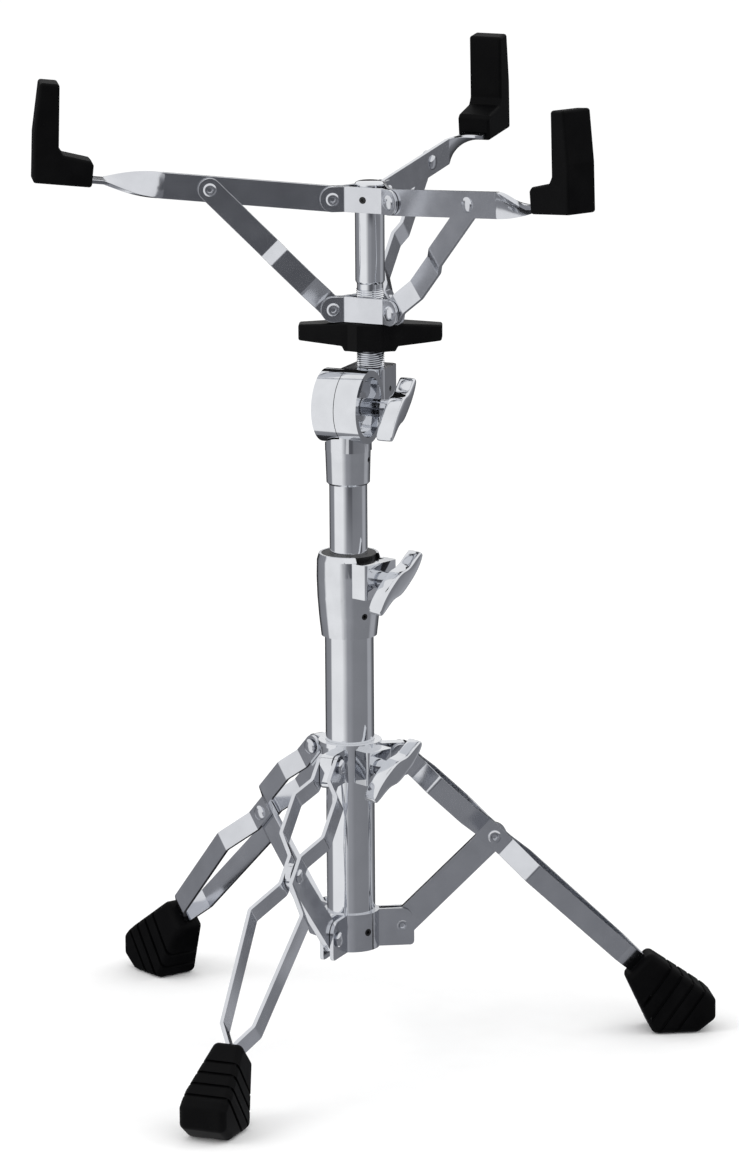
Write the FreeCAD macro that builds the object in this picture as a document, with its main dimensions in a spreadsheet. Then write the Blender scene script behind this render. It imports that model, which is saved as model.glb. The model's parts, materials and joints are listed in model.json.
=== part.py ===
import FreeCAD, Part
import os
import re
import Sketcher
from FreeCAD import Placement, Rotation, Vector

# Snare drum stand: a folding tripod, a sliding mast, a two-disc tilter and a three-arm basket.
# Millimetres. X is the tilter axis, Y points from the front leg to the rear arm, Z is up,
# and the origin lies on the floor under the middle of the whole stand.

SIZES = [
    # tripod: brace and upper leg are equal links, so the collar runs straight up the tube
    ("leg_pivot_radius", 30.0),
    ("leg_link", 76.0),
    ("leg_spread", 46.5),
    ("strip_thick", 2.3),
    ("strip_width", 12.6),
    ("strip_end", 6.6),
    ("strip_bend", 2.4),
    ("upper_bow", 13.2),
    ("lower_bow", 16.4),
    ("knee_offset", 10.0),
    ("ankle_offset", 1.75),
    ("upper_flat", 14.0),
    ("upper_flare", 11.0),
    ("upper_close", 14.4),
    ("middle_flat", 9.6),
    ("lower_flare", 19.4),
    ("lower_run", 75.5),
    ("ankle_run", 13.5),
    ("leg_tongue", 24.5),
    ("brace_thick", 3.6),
    ("brace_width", 15.5),
    # rubber feet
    ("foot_lip", 0.5),
    ("foot_mouth_height", 41.5),
    ("foot_mouth_half", 10.6),
    ("foot_mouth_width", 18.0),
    ("foot_base_width", 29.0),
    ("foot_flare", 36.0),
    ("foot_heel", 8.5),
    ("foot_sole", 27.0),
    ("foot_toe", 10.5),
    ("foot_toe_low", 8.0),
    ("foot_toe_high", 20.0),
    ("foot_crown", 4.0),
    ("foot_crown_height", 24.0),
    ("foot_round", 4.0),
    ("rib_first", 14.0),
    ("rib_gap", 1.9),
    ("rib_depth", 1.4),
    ("rib_pitch", 8.2),
    ("foot_slot_clear", 0.1),
    # base tube and its fixed collar
    ("tube_radius", 14.3),
    ("tube_wall", 1.4),
    ("tube_length", 233.0),
    ("base_collar_drop", 11.7),
    ("base_collar_rise", 10.8),
    ("base_ring_wall", 2.3),
    ("ear_thick", 2.2),
    ("ear_reach", 7.0),
    ("ear_corner", 8.0),
    ("ear_low_corner", 2.5),
    ("ear_hole_radius", 2.2),
    # sliding leg collar
    ("leg_collar_low", 13.0),
    ("leg_collar_high", 9.5),
    ("leg_collar_wall", 2.9),
    ("leg_flange_lip", 1.4),
    ("leg_flange_thick", 2.6),
    ("lug_thick", 7.4),
    ("lug_reach", 6.4),
    ("lug_corner", 5.0),
    ("leg_boss_half", 9.8),
    ("leg_boss_rise", 9.2),
    ("boss_corner", 2.0),
    ("leg_bolt_azimuth", -25.0),
    # height clamp collar with its nylon bush
    ("clamp_skirt", 44.0),
    ("clamp_lip", 5.0),
    ("clamp_wall", 2.0),
    ("clamp_bulge", 2.6),
    ("clamp_rim_wall", 3.2),
    ("clamp_boss_half", 13.5),
    ("clamp_boss_rise", 7.0),
    ("clamp_boss_lip", 2.7),
    ("clamp_boss_height", 20.5),
    ("clamp_notch_half", 9.8),
    ("clamp_notch", 4.0),
    ("clamp_bolt_azimuth", -20.0),
    ("clamp_hole_rise", 13.5),
    ("clamp_hole_azimuth", -36.0),
    ("clamp_hole_radius", 1.9),
    ("bush_depth", 32.0),
    ("bush_flange", 1.8),
    ("bush_flange_depth", 4.5),
    ("bush_sink", 0.3),
    # mast
    ("mast_radius", 11.1),
    ("mast_wall", 1.2),
    ("mast_overlap", 130.0),
    ("mast_reach", 87.0),
    ("guide_head", 8.0),
    ("guide_spigot", 12.0),
    # tilter
    ("tilt_radius", 21.4),
    ("tilt_half", 14.0),
    ("tilt_split", 0.2),
    ("tilt_rim", 3.8),
    ("tilt_recess_depth", 7.0),
    ("tilt_rib_half", 2.0),
    ("tilt_rib_rise", 2.0),
    ("tilt_washer_radius", 9.0),
    ("tilt_washer_thick", 2.4),
    ("tilt_head_radius", 8.0),
    ("tilt_head_thick", 3.0),
    ("sleeve_gap", 0.6),
    ("sleeve_cap", 4.0),
    ("sleeve_grip", 20.0),
    ("sleeve_wall", 1.6),
    ("sleeve_flare", 0.7),
    ("sleeve_chamfer", 1.2),
    ("sleeve_hole_drop", 9.0),
    ("neck_half", 12.6),
    ("neck_width", 13.2),
    ("holder_gap", 0.8),
    ("holder_front_wall", 4.1),
    ("holder_side_wall", 4.3),
    ("holder_back_wall", 3.8),
    ("holder_corner", 4.0),
    ("holder_drop", 8.0),
    ("holder_rise", 18.0),
    ("holder_floor", 4.0),
    ("holder_hole_radius", 1.6),
    # basket shaft and nut
    ("thread_radius", 8.2),
    ("thread_relief", 4.5),
    ("shaft_swell", 0.45),
    ("shaft_step", 9.0),
    ("shaft_cap", 1.0),
    ("shaft_dome", 1.6),
    ("nut_lift", 9.5),
    ("nut_height", 16.7),
    ("nut_wing_drop", 6.0),
    ("nut_wing_lip", 1.2),
    ("nut_hub_radius", 15.0),
    ("nut_flare", 1.5),
    ("nut_span_half", 42.0),
    ("nut_wing_half", 7.0),
    ("nut_tip_half", 5.6),
    ("nut_round", 1.4),
    ("nut_azimuth", 20.0),
    # basket hubs, arms, struts and pads
    ("hub_pivot_radius", 22.1),
    ("hub_spread", 65.0),
    ("hub_depth", 15.0),
    ("plate_thick", 1.8),
    ("plate_end_flat", 0.3),
    ("plate_bend", 2.2),
    ("plate_hole_radius", 2.0),
    ("arm_rise", 6.0),
    ("arm_thick", 2.4),
    ("arm_depth", 15.4),
    ("arm_end_flat", 0.7),
    ("arm_joint", 72.0),
    ("arm_shoulder", 26.0),
    ("arm_twist", 36.0),
    ("arm_tongue", 34.0),
    ("strut_thick", 2.4),
    ("strut_width", 13.6),
    ("strut_end", 6.8),
    ("strut_low_flat", 8.6),
    ("strut_step", 12.4),
    ("strut_bow_run", 24.0),
    ("strut_close", 7.5),
    ("strut_bow", 6.0),
    ("pad_setback", 6.8),
    ("pad_cover", 7.0),
    ("pad_floor", 2.2),
    ("pad_width", 20.5),
    ("pad_toe", 2.2),
    ("pad_toe_height", 9.8),
    ("pad_seat_front_height", 12.0),
    ("pad_heel", 2.8),
    ("pad_seat_height", 14.2),
    ("pad_face_depth", 13.2),
    ("pad_face_height", 18.0),
    ("pad_top", 55.0),
    ("pad_top_depth", 11.4),
    ("pad_top_lean", 1.0),
    ("pad_belly", 2.0),
    ("pad_waist_height", 25.0),
    ("pad_round", 1.8),
    # rivets and wing screws
    ("rivet_radius", 2.7),
    ("rivet_head_radius", 4.5),
    ("rivet_head_height", 2.1),
    ("rivet_ring_radius", 3.9),
    ("rivet_ring_height", 1.1),
    ("rivet_dimple_radius", 1.7),
    ("rivet_dimple_depth", 1.6),
    ("screw_radius", 4.0),
    ("screw_collar_radius", 5.2),
    ("screw_collar_gap", 1.0),
    ("screw_reach", 6.0),
    ("tilt_screw_reach", 11.4),
    ("wing_half", 23.8),
    ("wing_crest", 5.8),
    ("wing_depth", 10.5),
    ("wing_round", 1.5),
    ("leg_wing_angle", 39.4),
    ("clamp_wing_angle", 41.3),
    ("tilt_wing_angle", 39.0),
    # fits
    ("side_clear", 0.3),
    ("slide_clear", 0.1),
    ("pivot_clear", 0.05),
    ("hub_clear", 0.3),
    ("overrun", 60.0),
]

# Every height and reach that follows from the sizes above, from the floor up
FOLLOWING = [
    ("upper_bow_start", "upper_flat + upper_flare"),
    ("upper_bow_end", "leg_link - middle_flat - upper_close"),
    ("lower_bow_start", "leg_link + middle_flat + lower_flare"),
    ("knee", "lower_bow_start + lower_run"),
    ("ankle", "knee + ankle_run"),
    ("leg_end", "ankle + leg_tongue"),
    ("foot_mouth", "ankle + foot_lip"),
    ("foot_mouth_radius", "leg_pivot_radius + foot_mouth * sin(leg_spread * 1deg)"),
    ("foot_heel_radius", "foot_mouth_radius + foot_heel"),
    ("foot_sole_end", "foot_heel_radius + foot_sole"),
    ("foot_toe_radius", "foot_sole_end + foot_toe"),
    ("foot_crown_radius", "foot_toe_radius - foot_crown"),
    ("top_pivot_height", "foot_mouth_height + foot_mouth * cos(leg_spread * 1deg)"),
    ("leg_low_pivot_height", "top_pivot_height - 2 * leg_link * cos(leg_spread * 1deg)"),
    ("base_collar_bottom", "leg_low_pivot_height - base_collar_drop"),
    ("base_collar_top", "leg_low_pivot_height + base_collar_rise"),
    ("base_ring_radius", "tube_radius + base_ring_wall"),
    ("ear_end", "leg_pivot_radius + ear_reach"),
    ("tube_top", "base_collar_bottom + tube_length"),
    ("leg_collar_radius", "tube_radius + leg_collar_wall"),
    ("leg_flange_radius", "leg_collar_radius + leg_flange_lip"),
    ("leg_boss_face", "leg_collar_radius + leg_boss_rise"),
    ("lug_end", "leg_pivot_radius + lug_reach"),
    ("leg_bolt_height", "top_pivot_height + (leg_collar_high - leg_flange_thick - leg_collar_low) / 2"),
    ("clamp_bottom", "tube_top - clamp_skirt"),
    ("clamp_top", "tube_top + clamp_lip"),
    ("clamp_foot_radius", "tube_radius + clamp_wall"),
    ("clamp_top_radius", "tube_radius + clamp_rim_wall"),
    ("clamp_boss_face", "clamp_foot_radius + clamp_bulge + clamp_boss_rise"),
    ("clamp_boss_top", "clamp_top - clamp_boss_lip"),
    ("clamp_boss_bottom", "clamp_boss_top - clamp_boss_height"),
    ("clamp_bolt_height", "(clamp_boss_bottom + clamp_boss_top) / 2"),
    ("clamp_hole_height", "clamp_bottom + clamp_hole_rise"),
    ("bush_bottom", "tube_top - bush_depth"),
    ("bush_top", "clamp_top - bush_sink"),
    ("bush_seat", "clamp_top - bush_flange_depth"),
    ("bush_flange_radius", "tube_radius + bush_flange"),
    ("mast_bottom", "clamp_bottom - mast_overlap"),
    ("guide_bottom", "mast_bottom - guide_head"),
    ("tilt_height", "clamp_top + mast_reach"),
    ("tilt_recess_radius", "tilt_radius - tilt_rim"),
    ("tilt_recess_floor", "tilt_half - tilt_recess_depth"),
    ("tilt_rib_face", "tilt_recess_floor + tilt_rib_rise"),
    ("sleeve_top", "tilt_height - tilt_radius - sleeve_gap"),
    ("mast_top", "sleeve_top - sleeve_cap"),
    ("sleeve_bottom", "mast_top - sleeve_grip"),
    ("sleeve_bottom_radius", "mast_radius + sleeve_wall"),
    ("sleeve_top_radius", "sleeve_bottom_radius + sleeve_flare"),
    ("sleeve_hole_height", "sleeve_top - sleeve_hole_drop"),
    ("holder_front", "tilt_radius + holder_gap"),
    ("tilt_offset", "holder_front + holder_front_wall + thread_radius"),
    ("holder_back", "tilt_offset + thread_radius + holder_back_wall"),
    ("holder_half", "thread_radius + holder_side_wall"),
    ("holder_bottom", "tilt_height - holder_drop"),
    ("holder_top", "tilt_height + holder_rise"),
    ("thread_bottom", "holder_bottom + holder_floor"),
    ("nut_bottom", "holder_top + nut_lift"),
    ("nut_top", "nut_bottom + nut_height"),
    ("nut_wing_bottom", "nut_bottom + nut_wing_drop"),
    ("nut_wing_top", "nut_top - nut_wing_lip"),
    ("nut_shoulder", "nut_hub_radius + nut_flare"),
    ("lower_hub_height", "nut_top + side_clear + hub_depth / 2"),
    ("upper_hub_height", "lower_hub_height + hub_spread"),
    ("shaft_radius", "thread_radius + shaft_swell"),
    ("shaft_start", "lower_hub_height + hub_depth / 2 + shaft_step"),
    ("thread_top", "shaft_start - thread_relief"),
    ("shaft_top", "upper_hub_height + hub_depth / 2 + shaft_cap"),
    ("plate_round", "hub_depth / 2 - plate_end_flat"),
    ("arm_end", "arm_depth / 2 - arm_end_flat"),
    ("arm_twist_start", "arm_joint + arm_shoulder"),
    ("arm_twist_end", "arm_twist_start + arm_twist"),
    ("arm_tip", "arm_twist_end + arm_tongue"),
    ("strut_step_top", "strut_low_flat + strut_step"),
    ("strut_bow_end", "strut_step_top + strut_bow_run"),
    ("strut_upper_flat", "strut_bow_end + strut_close"),
    ("pad_mouth", "arm_twist_end + pad_setback"),
    ("pad_back", "arm_tip + pad_cover"),
    ("pad_bottom", "-(arm_thick / 2 + pad_floor)"),
    ("pad_seat_start", "pad_mouth + pad_toe"),
    ("pad_face", "pad_back - pad_face_depth"),
    ("pad_seat_end", "pad_face - pad_heel"),
    ("pad_waist_back", "pad_back + pad_belly"),
    ("pad_top_back", "pad_back + pad_top_lean"),
    ("pad_top_front", "pad_top_back - pad_top_depth"),
    ("leg_wing_start", "leg_boss_face + screw_reach"),
    ("clamp_wing_start", "clamp_boss_face + screw_reach"),
    ("tilt_wing_start", "tilt_half + tilt_screw_reach"),
]

TURN = 360.0
THIRD = TURN / 3
SIXTH = THIRD / 2
RIGHT_ANGLE = 90.0
LEGS = {"front": -RIGHT_ANGLE, "right": THIRD - RIGHT_ANGLE, "left": 2 * THIRD - RIGHT_ANGLE}
ARMS = {"rear": RIGHT_ANGLE, "left": RIGHT_ANGLE + THIRD, "right": RIGHT_ANGLE + 2 * THIRD}
UP = Vector(0, 0, 1)
SIDE = Vector(0, 1, 0)
ALONG = Vector(1, 0, 0)

doc = FreeCAD.newDocument("SnareDrumStand")
sheet = doc.addObject("Spreadsheet::Sheet", "Sizes")
for row, (alias, value) in enumerate(SIZES + FOLLOWING, 1):
    sheet.set(f"A{row}", alias)
    sheet.set(f"B{row}", f"={value}")
    sheet.setAlias(f"B{row}", alias)
doc.recompute()
ALIASES = {alias for alias, value in SIZES + FOLLOWING}
NODES = {}


def bound(formula):
    """The formula with every size name pointing at its cell."""
    return re.sub(r"[a-z_]+", lambda m: f"Sizes.{m[0]}" if m[0] in ALIASES else m[0], formula)


def size(formula):
    """The number that a formula of size names stands for."""
    return float(sheet.evalExpression(bound(formula)))


NEAR = size("pivot_clear")
SAME_SHARE = 0.999
FULL_ROUND_SHARE = 0.985
DOME_WAIST_SHARE = 0.86
DOME_RISE_SHARE = 0.62
DOME_TOP_SHARE = 0.5


def new_body(label):
    body = doc.addObject("PartDesign::Body", label)
    body.Label = label
    return body


def node(label, shape_object):
    """Give a finished sub-part its label, which is also its file name."""
    shape_object.Label = label
    NODES[label] = shape_object
    return shape_object


def place(thing, azimuth=0.0, radius="0", height="0", pitch=0.0):
    """Stand a thing at an azimuth and radius from the tube axis, pitched about its own side axis."""
    turn = Rotation(UP, azimuth)
    spot = turn.multVec(Vector(size(radius), 0, size(height)))
    thing.Placement = Placement(spot, turn * Rotation(SIDE, pitch))


def place_basket(thing, azimuth, radius, height, pitch=0.0):
    """As place, from the axis of the basket shaft."""
    place(thing, azimuth, radius, height, pitch)
    thing.Placement.Base += Vector(0, size("tilt_offset"), 0)


def sketch_on(body, role, shift="0", pose=None):
    """A sketch on one origin plane of its body, shifted along the plane's normal or posed on it."""
    plane = next(part for part in body.Origin.OriginFeatures if part.Role == role)
    sketch = body.newObject("Sketcher::SketchObject", f"{body.Name}Sketch")
    sketch.AttachmentSupport = [(plane, "")]
    sketch.MapMode = "FlatFace"
    if pose:
        sketch.AttachmentOffset = pose
    else:
        sketch.setExpression("AttachmentOffset.Base.z", bound(shift))
    return sketch


def pin(sketch, geometry, end, point):
    """Hold one end of a line at a point given by two formulas."""
    for kind, formula in zip(("DistanceX", "DistanceY"), point):
        rule = Sketcher.Constraint(kind, -1, 1, geometry, end, size(formula))
        index = sketch.addConstraint(rule)
        sketch.setExpression(f"Constraints[{index}]", bound(formula))


def lines(sketch, points, closed):
    """Straight lines through points that are pairs of formulas."""
    corners = [Vector(size(across), size(upward), 0) for across, upward in points]
    ends = corners[1:] + corners[:1] if closed else corners[1:]
    for start, end in zip(corners, ends):
        sketch.addGeometry(Part.LineSegment(start, end), False)
    count = len(ends)
    for index in range(count if closed else count - 1):
        sketch.addConstraint(Sketcher.Constraint("Coincident", index, 2, (index + 1) % count, 1))
    for index, point in enumerate(points):
        if index < count:
            pin(sketch, index, 1, point)
        else:
            pin(sketch, count - 1, 2, point)
    return sketch


def outline(body, role, points, shift="0", pose=None):
    return lines(sketch_on(body, role, shift, pose), points, True)


def circle(body, role, centre, radius, shift="0", pose=None):
    sketch = sketch_on(body, role, shift, pose)
    middle = Vector(size(centre[0]), size(centre[1]), 0)
    sketch.addGeometry(Part.Circle(middle, UP, size(radius)), False)
    pin(sketch, 0, 3, centre)
    index = sketch.addConstraint(Sketcher.Constraint("Radius", 0, size(radius)))
    sketch.setExpression(f"Constraints[{index}]", bound(radius))
    return sketch


def oblong(half_across, half_up):
    """Four corners about the sketch origin."""
    return [(f"-({half_across})", f"-({half_up})"), (half_across, f"-({half_up})"),
            (half_across, half_up), (f"-({half_across})", half_up)]


def extrude(body, kind, sketch, length, symmetric):
    feature = body.newObject(f"PartDesign::{kind}", f"{body.Name}{kind}")
    feature.Profile = sketch
    feature.SideType = "Symmetric" if symmetric else "One side"
    feature.setExpression("Length", bound(length))
    doc.recompute()
    return feature


def pad(body, sketch, length, symmetric=True):
    return extrude(body, "Pad", sketch, length, symmetric)


def pocket(body, sketch, length="overrun", symmetric=True, reverse=False):
    before = body.Shape.Volume
    feature = extrude(body, "Pocket", sketch, length, symmetric)
    feature.Reversed = reverse
    doc.recompute()
    if body.Shape.Volume >= before:
        raise ValueError(f"{body.Label}: a pocket removed nothing")
    return feature


def revolve(body, points, role="XZ_Plane", kind="Revolution"):
    """Turn an outline about the upright axis of its sketch."""
    sketch = outline(body, role, points)
    feature = body.newObject(f"PartDesign::{kind}", f"{body.Name}{kind}")
    feature.Profile = sketch
    feature.ReferenceAxis = (sketch, ["V_Axis"])
    feature.Angle = TURN
    doc.recompute()
    return feature


def round_edges(body, radius, wanted):
    """Fillet the edges of the body's last feature that the test wants."""
    tip = body.Tip
    names = [f"Edge{i}" for i, edge in enumerate(tip.Shape.Edges, 1) if wanted(edge)]
    if not names:
        raise ValueError(f"{body.Label}: no edges to round")
    feature = body.newObject("PartDesign::Fillet", f"{body.Name}Fillet")
    feature.Base = (tip, names)
    feature.setExpression("Radius", bound(radius))
    doc.recompute()
    return feature


def runs(edge, axis):
    """Whether a straight edge runs along an axis."""
    if edge.Curve.TypeId != "Part::GeomLine":
        return False
    return abs(edge.tangentAt(edge.FirstParameter).dot(axis)) > SAME_SHARE


def near(number, formula):
    return abs(number - size(formula)) < NEAR


def third_turns(body, features):
    """Repeat features at three equal turns about the upright axis."""
    axis = next(part for part in body.Origin.OriginFeatures if part.Role == "Z_Axis")
    pattern = body.newObject("PartDesign::PolarPattern", f"{body.Name}Pattern")
    pattern.Originals = features
    pattern.Axis = (axis, [""])
    pattern.Angle = TURN
    pattern.Occurrences = len(LEGS)
    body.Tip = pattern
    doc.recompute()
    return pattern


def combine(kind, base, tool):
    feature = doc.addObject(f"Part::{kind}", kind)
    feature.Base = base
    feature.Tool = tool
    doc.recompute()
    return feature


def cylinder(radius, bottom, top):
    solid = doc.addObject("Part::Cylinder", "Cylinder")
    solid.setExpression("Radius", bound(radius))
    solid.setExpression("Height", bound(f"{top} - ({bottom})"))
    solid.setExpression("Placement.Base.z", bound(bottom))
    doc.recompute()
    return solid


def drill(radius, azimuth, height):
    """A radial drill from the tube axis outward."""
    solid = doc.addObject("Part::Cylinder", "Drill")
    solid.setExpression("Radius", bound(radius))
    solid.setExpression("Height", bound("overrun"))
    place(solid, azimuth, "0", height, RIGHT_ANGLE)
    doc.recompute()
    return solid


def bent_strip(body, spine, thick, width):
    """A flat strip, standing on edge in Z, that follows a bent line in the XY plane."""
    path = lines(sketch_on(body, "XY_Plane"), spine, False)
    start, side = spine[0]
    half = f"{thick} / 2"
    edge = f"{width} / 2"
    section = sketch_on(body, "YZ_Plane", start)
    lines(section, [(f"{side} - {half}", f"-{edge}"), (f"{side} + {half}", f"-{edge}"),
                    (f"{side} + {half}", edge), (f"{side} - {half}", edge)], True)
    doc.recompute()
    sweep = body.newObject("PartDesign::AdditivePipe", f"{body.Name}Strip")
    sweep.Profile = section
    sweep.Spine = (path, [f"Edge{i}" for i in range(1, len(spine))])
    sweep.Transition = "Right corner"
    doc.recompute()
    return sweep


def round_bends(body, spine, thick, bend):
    """Give each bend of a strip its inner radius, and outside it that radius plus the sheet."""
    corners = [Vector(size(along), size(across), 0) for along, across in spine]

    def at_bend(edge, side):
        spot = Vector(edge.CenterOfMass.x, edge.CenterOfMass.y, 0)
        for before, corner, after in zip(corners, corners[1:], corners[2:]):
            inward = (after - corner).normalize() - (corner - before).normalize()
            if (spot - corner).Length < size(thick):
                return runs(edge, UP) and (spot - corner).dot(inward) * side > 0
        return False
    round_edges(body, bend, lambda edge: at_bend(edge, 1))
    round_edges(body, f"{bend} + {thick}", lambda edge: at_bend(edge, -1))


def round_strip_end(body, end, width):
    """Round off the end of a strip that stands at one station."""
    def at_end(edge):
        middle = edge.CenterOfMass
        return near(middle.x, end) and near(abs(middle.z), f"{width} / 2") and runs(edge, SIDE)
    round_edges(body, f"{width} / 2 * {FULL_ROUND_SHARE}", at_end)


def cross_hole(body, station, radius):
    """A hole through a strip's thickness at one station."""
    pocket(body, circle(body, "XZ_Plane", (station, "0"), radius))


def dome(radius, base, rise):
    """The profile of a low dome from its rim to its crown."""
    return [(f"{radius} * {DOME_WAIST_SHARE}", f"{base} + {rise} * {DOME_RISE_SHARE}"),
            (f"{radius} * {DOME_TOP_SHARE}", f"{base} + {rise}"), ("0", f"{base} + {rise}")]


def rivet(label, low, high, stand, facing=1, ring=True, head=True):
    """A rivet along Y between two faces: dome head on one side, rolled ring on the other."""
    body = new_body(label)
    rolled = f"{low} - rivet_ring_height"
    points = [("0", low)]
    if ring:
        dimple = f"{rolled} + rivet_dimple_depth"
        points = [("0", dimple), ("rivet_dimple_radius", dimple), ("rivet_dimple_radius", rolled),
                  ("rivet_ring_radius", rolled), ("rivet_ring_radius", low)]
    points += [("rivet_radius", low), ("rivet_radius", high)]
    if head:
        points.append(("rivet_head_radius", high))
        points += dome("rivet_head_radius", high, "rivet_head_height")
    else:
        points.append(("0", high))
    revolve(body, points, "XY_Plane")
    stand(body)
    if facing < 0:
        body.Placement = body.Placement * Placement(Vector(), Rotation(UP, TURN / 2))
    return body


def group(label, members):
    """Identical fasteners held in one node as separate solids."""
    bundle = doc.addObject("Part::Compound", label)
    bundle.Links = members
    doc.recompute()
    return node(label, bundle)


LEG_PITCH = RIGHT_ANGLE - size("leg_spread")
LUG_OFFSET = "lug_thick / 2 + side_clear + strip_thick / 2"
MIDDLE_OFFSET = "brace_thick / 2 + side_clear + strip_thick / 2"
SPINE = [
    ("-strip_end", LUG_OFFSET),
    ("upper_flat", LUG_OFFSET),
    ("upper_bow_start", "upper_bow"),
    ("upper_bow_end", "upper_bow"),
    ("leg_link - middle_flat", MIDDLE_OFFSET),
    ("leg_link + middle_flat", MIDDLE_OFFSET),
    ("lower_bow_start", "lower_bow"),
    ("knee", "knee_offset"),
    ("ankle", "ankle_offset"),
    ("leg_end", "ankle_offset"),
]


def leg_strip(name, azimuth, side, mark):
    """One of the two bent strips of a leg."""
    body = new_body(f"leg_{name}_strip_{mark}")
    spine = [(along, f"{side} * ({across})") for along, across in SPINE]
    bent_strip(body, spine, "strip_thick", "strip_width")
    round_bends(body, spine, "strip_thick", "strip_bend")
    round_strip_end(body, "-strip_end", "strip_width")
    cross_hole(body, "0", "rivet_radius + pivot_clear")
    cross_hole(body, "leg_link", "rivet_radius")
    place(body, azimuth, "leg_pivot_radius", "top_pivot_height", LEG_PITCH)
    return node(body.Label, body)


def leg_rivet(name, azimuth):
    half = "brace_thick / 2 + side_clear + strip_thick"

    def at_middle(body):
        place(body, azimuth, "leg_pivot_radius + leg_link * sin(leg_spread)",
              "leg_low_pivot_height + leg_link * cos(leg_spread)", LEG_PITCH)
    return node(f"leg_{name}_rivet", rivet(f"leg_{name}_rivet", f"-({half})", half, at_middle))


def brace(name, azimuth):
    """The flat link from the base collar up to the middle of a leg."""
    body = new_body(f"brace_{name}")
    half = "brace_width / 2"
    pad(body, outline(body, "XZ_Plane", [
        (f"-{half}", f"-{half}"), (f"leg_link + {half}", f"-{half}"),
        (f"leg_link + {half}", half), (f"-{half}", half)]), "brace_thick")
    round_edges(body, f"{half} * {FULL_ROUND_SHARE}", lambda edge: runs(edge, SIDE))
    for station in ("0", "leg_link"):
        cross_hole(body, station, "rivet_radius + pivot_clear")
    place(body, azimuth, "leg_pivot_radius", "leg_low_pivot_height", -LEG_PITCH)
    return node(body.Label, body)


RIB_COUNT = 4


def boot(label, points, inset):
    """A block with the given side outline that flares in plan from the mouth to the base."""
    body = new_body(label)
    pad(body, outline(body, "XZ_Plane", points), "foot_base_width")
    spot = Vector(size("foot_mouth_radius"), 0, size("foot_mouth_height"))
    plan = Placement(spot, Rotation(SIDE, LEG_PITCH))
    mouth = f"(foot_mouth_width / 2 - {inset})"
    base = f"(foot_base_width / 2 - {inset})"
    back = "-foot_mouth_half"
    for side in ("", "-"):
        pocket(body, outline(body, "XY_Plane", [
            (back, f"{side}{mouth}"), ("0", f"{side}{mouth}"), ("foot_flare", f"{side}{base}"),
            ("overrun * 2", f"{side}{base}"), ("overrun * 2", f"{side}overrun"), (back, f"{side}overrun")],
            pose=plan), "overrun * 2")
    return body


def foot(name, azimuth):
    """A flared rubber boot with a flat sole and grooves over its crown and sides."""
    across = "foot_mouth_half * cos(leg_spread)"
    upward = "foot_mouth_half * sin(leg_spread)"
    top = (f"foot_mouth_radius + {across}", f"foot_mouth_height + {upward}")
    low = (f"foot_mouth_radius - {across}", f"foot_mouth_height - {upward}")
    crown = ("foot_crown_radius", "foot_crown_height")
    body = boot(f"foot_{name}", [top, low, ("foot_heel_radius", "0"), ("foot_sole_end", "0"),
                                 ("foot_toe_radius", "foot_toe_low"), ("foot_toe_radius", "foot_toe_high"),
                                 crown], "0")
    round_edges(body, "foot_round", lambda edge: True)
    mouth = Vector(0, size("foot_mouth_height"), size("foot_mouth_radius"))
    socket = Placement(mouth, Rotation(ALONG, LEG_PITCH))
    slot = oblong("ankle_offset + strip_thick / 2 + foot_slot_clear", "strip_width / 2 + foot_slot_clear")
    pocket(body, outline(body, "YZ_Plane", slot, pose=socket), "(leg_end - foot_mouth + foot_slot_clear) * 2")
    core = boot(f"foot_{name}_core", [
        (top[0], f"{top[1]} - rib_depth"), (top[0], "-overrun"),
        (crown[0], "-overrun"), (crown[0], f"{crown[1]} - rib_depth")], "rib_depth")
    run = Vector(size(crown[0]) - size(top[0]), 0, size(crown[1]) - size(top[1]))
    tilt = Rotation(ALONG, run)
    corner = tilt.multVec(Vector(0, -size("overrun"), -size("overrun")))
    start = Vector(size(top[0]), 0, size(top[1])) + corner
    whole = body
    for rib in range(RIB_COUNT):
        band = doc.addObject("Part::Box", "Band")
        band.setExpression("Length", bound("rib_gap"))
        band.setExpression("Width", bound("overrun * 2"))
        band.setExpression("Height", bound("overrun * 2"))
        along = Vector(run).normalize() * size(f"rib_first + rib_pitch * {rib}")
        band.Placement = Placement(start + along, tilt)
        whole = combine("Cut", whole, combine("Cut", band, core))
    place(whole, azimuth)
    return node(f"foot_{name}", whole)


def base_tube():
    shell = combine("Cut", cylinder("tube_radius", "base_collar_bottom", "tube_top"),
                    cylinder("tube_radius - tube_wall", "base_collar_bottom - overrun", "tube_top + overrun"))
    hole = drill("screw_radius + side_clear", size("clamp_bolt_azimuth"), "clamp_bolt_height")
    return node("base_tube", combine("Cut", shell, hole))


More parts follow.
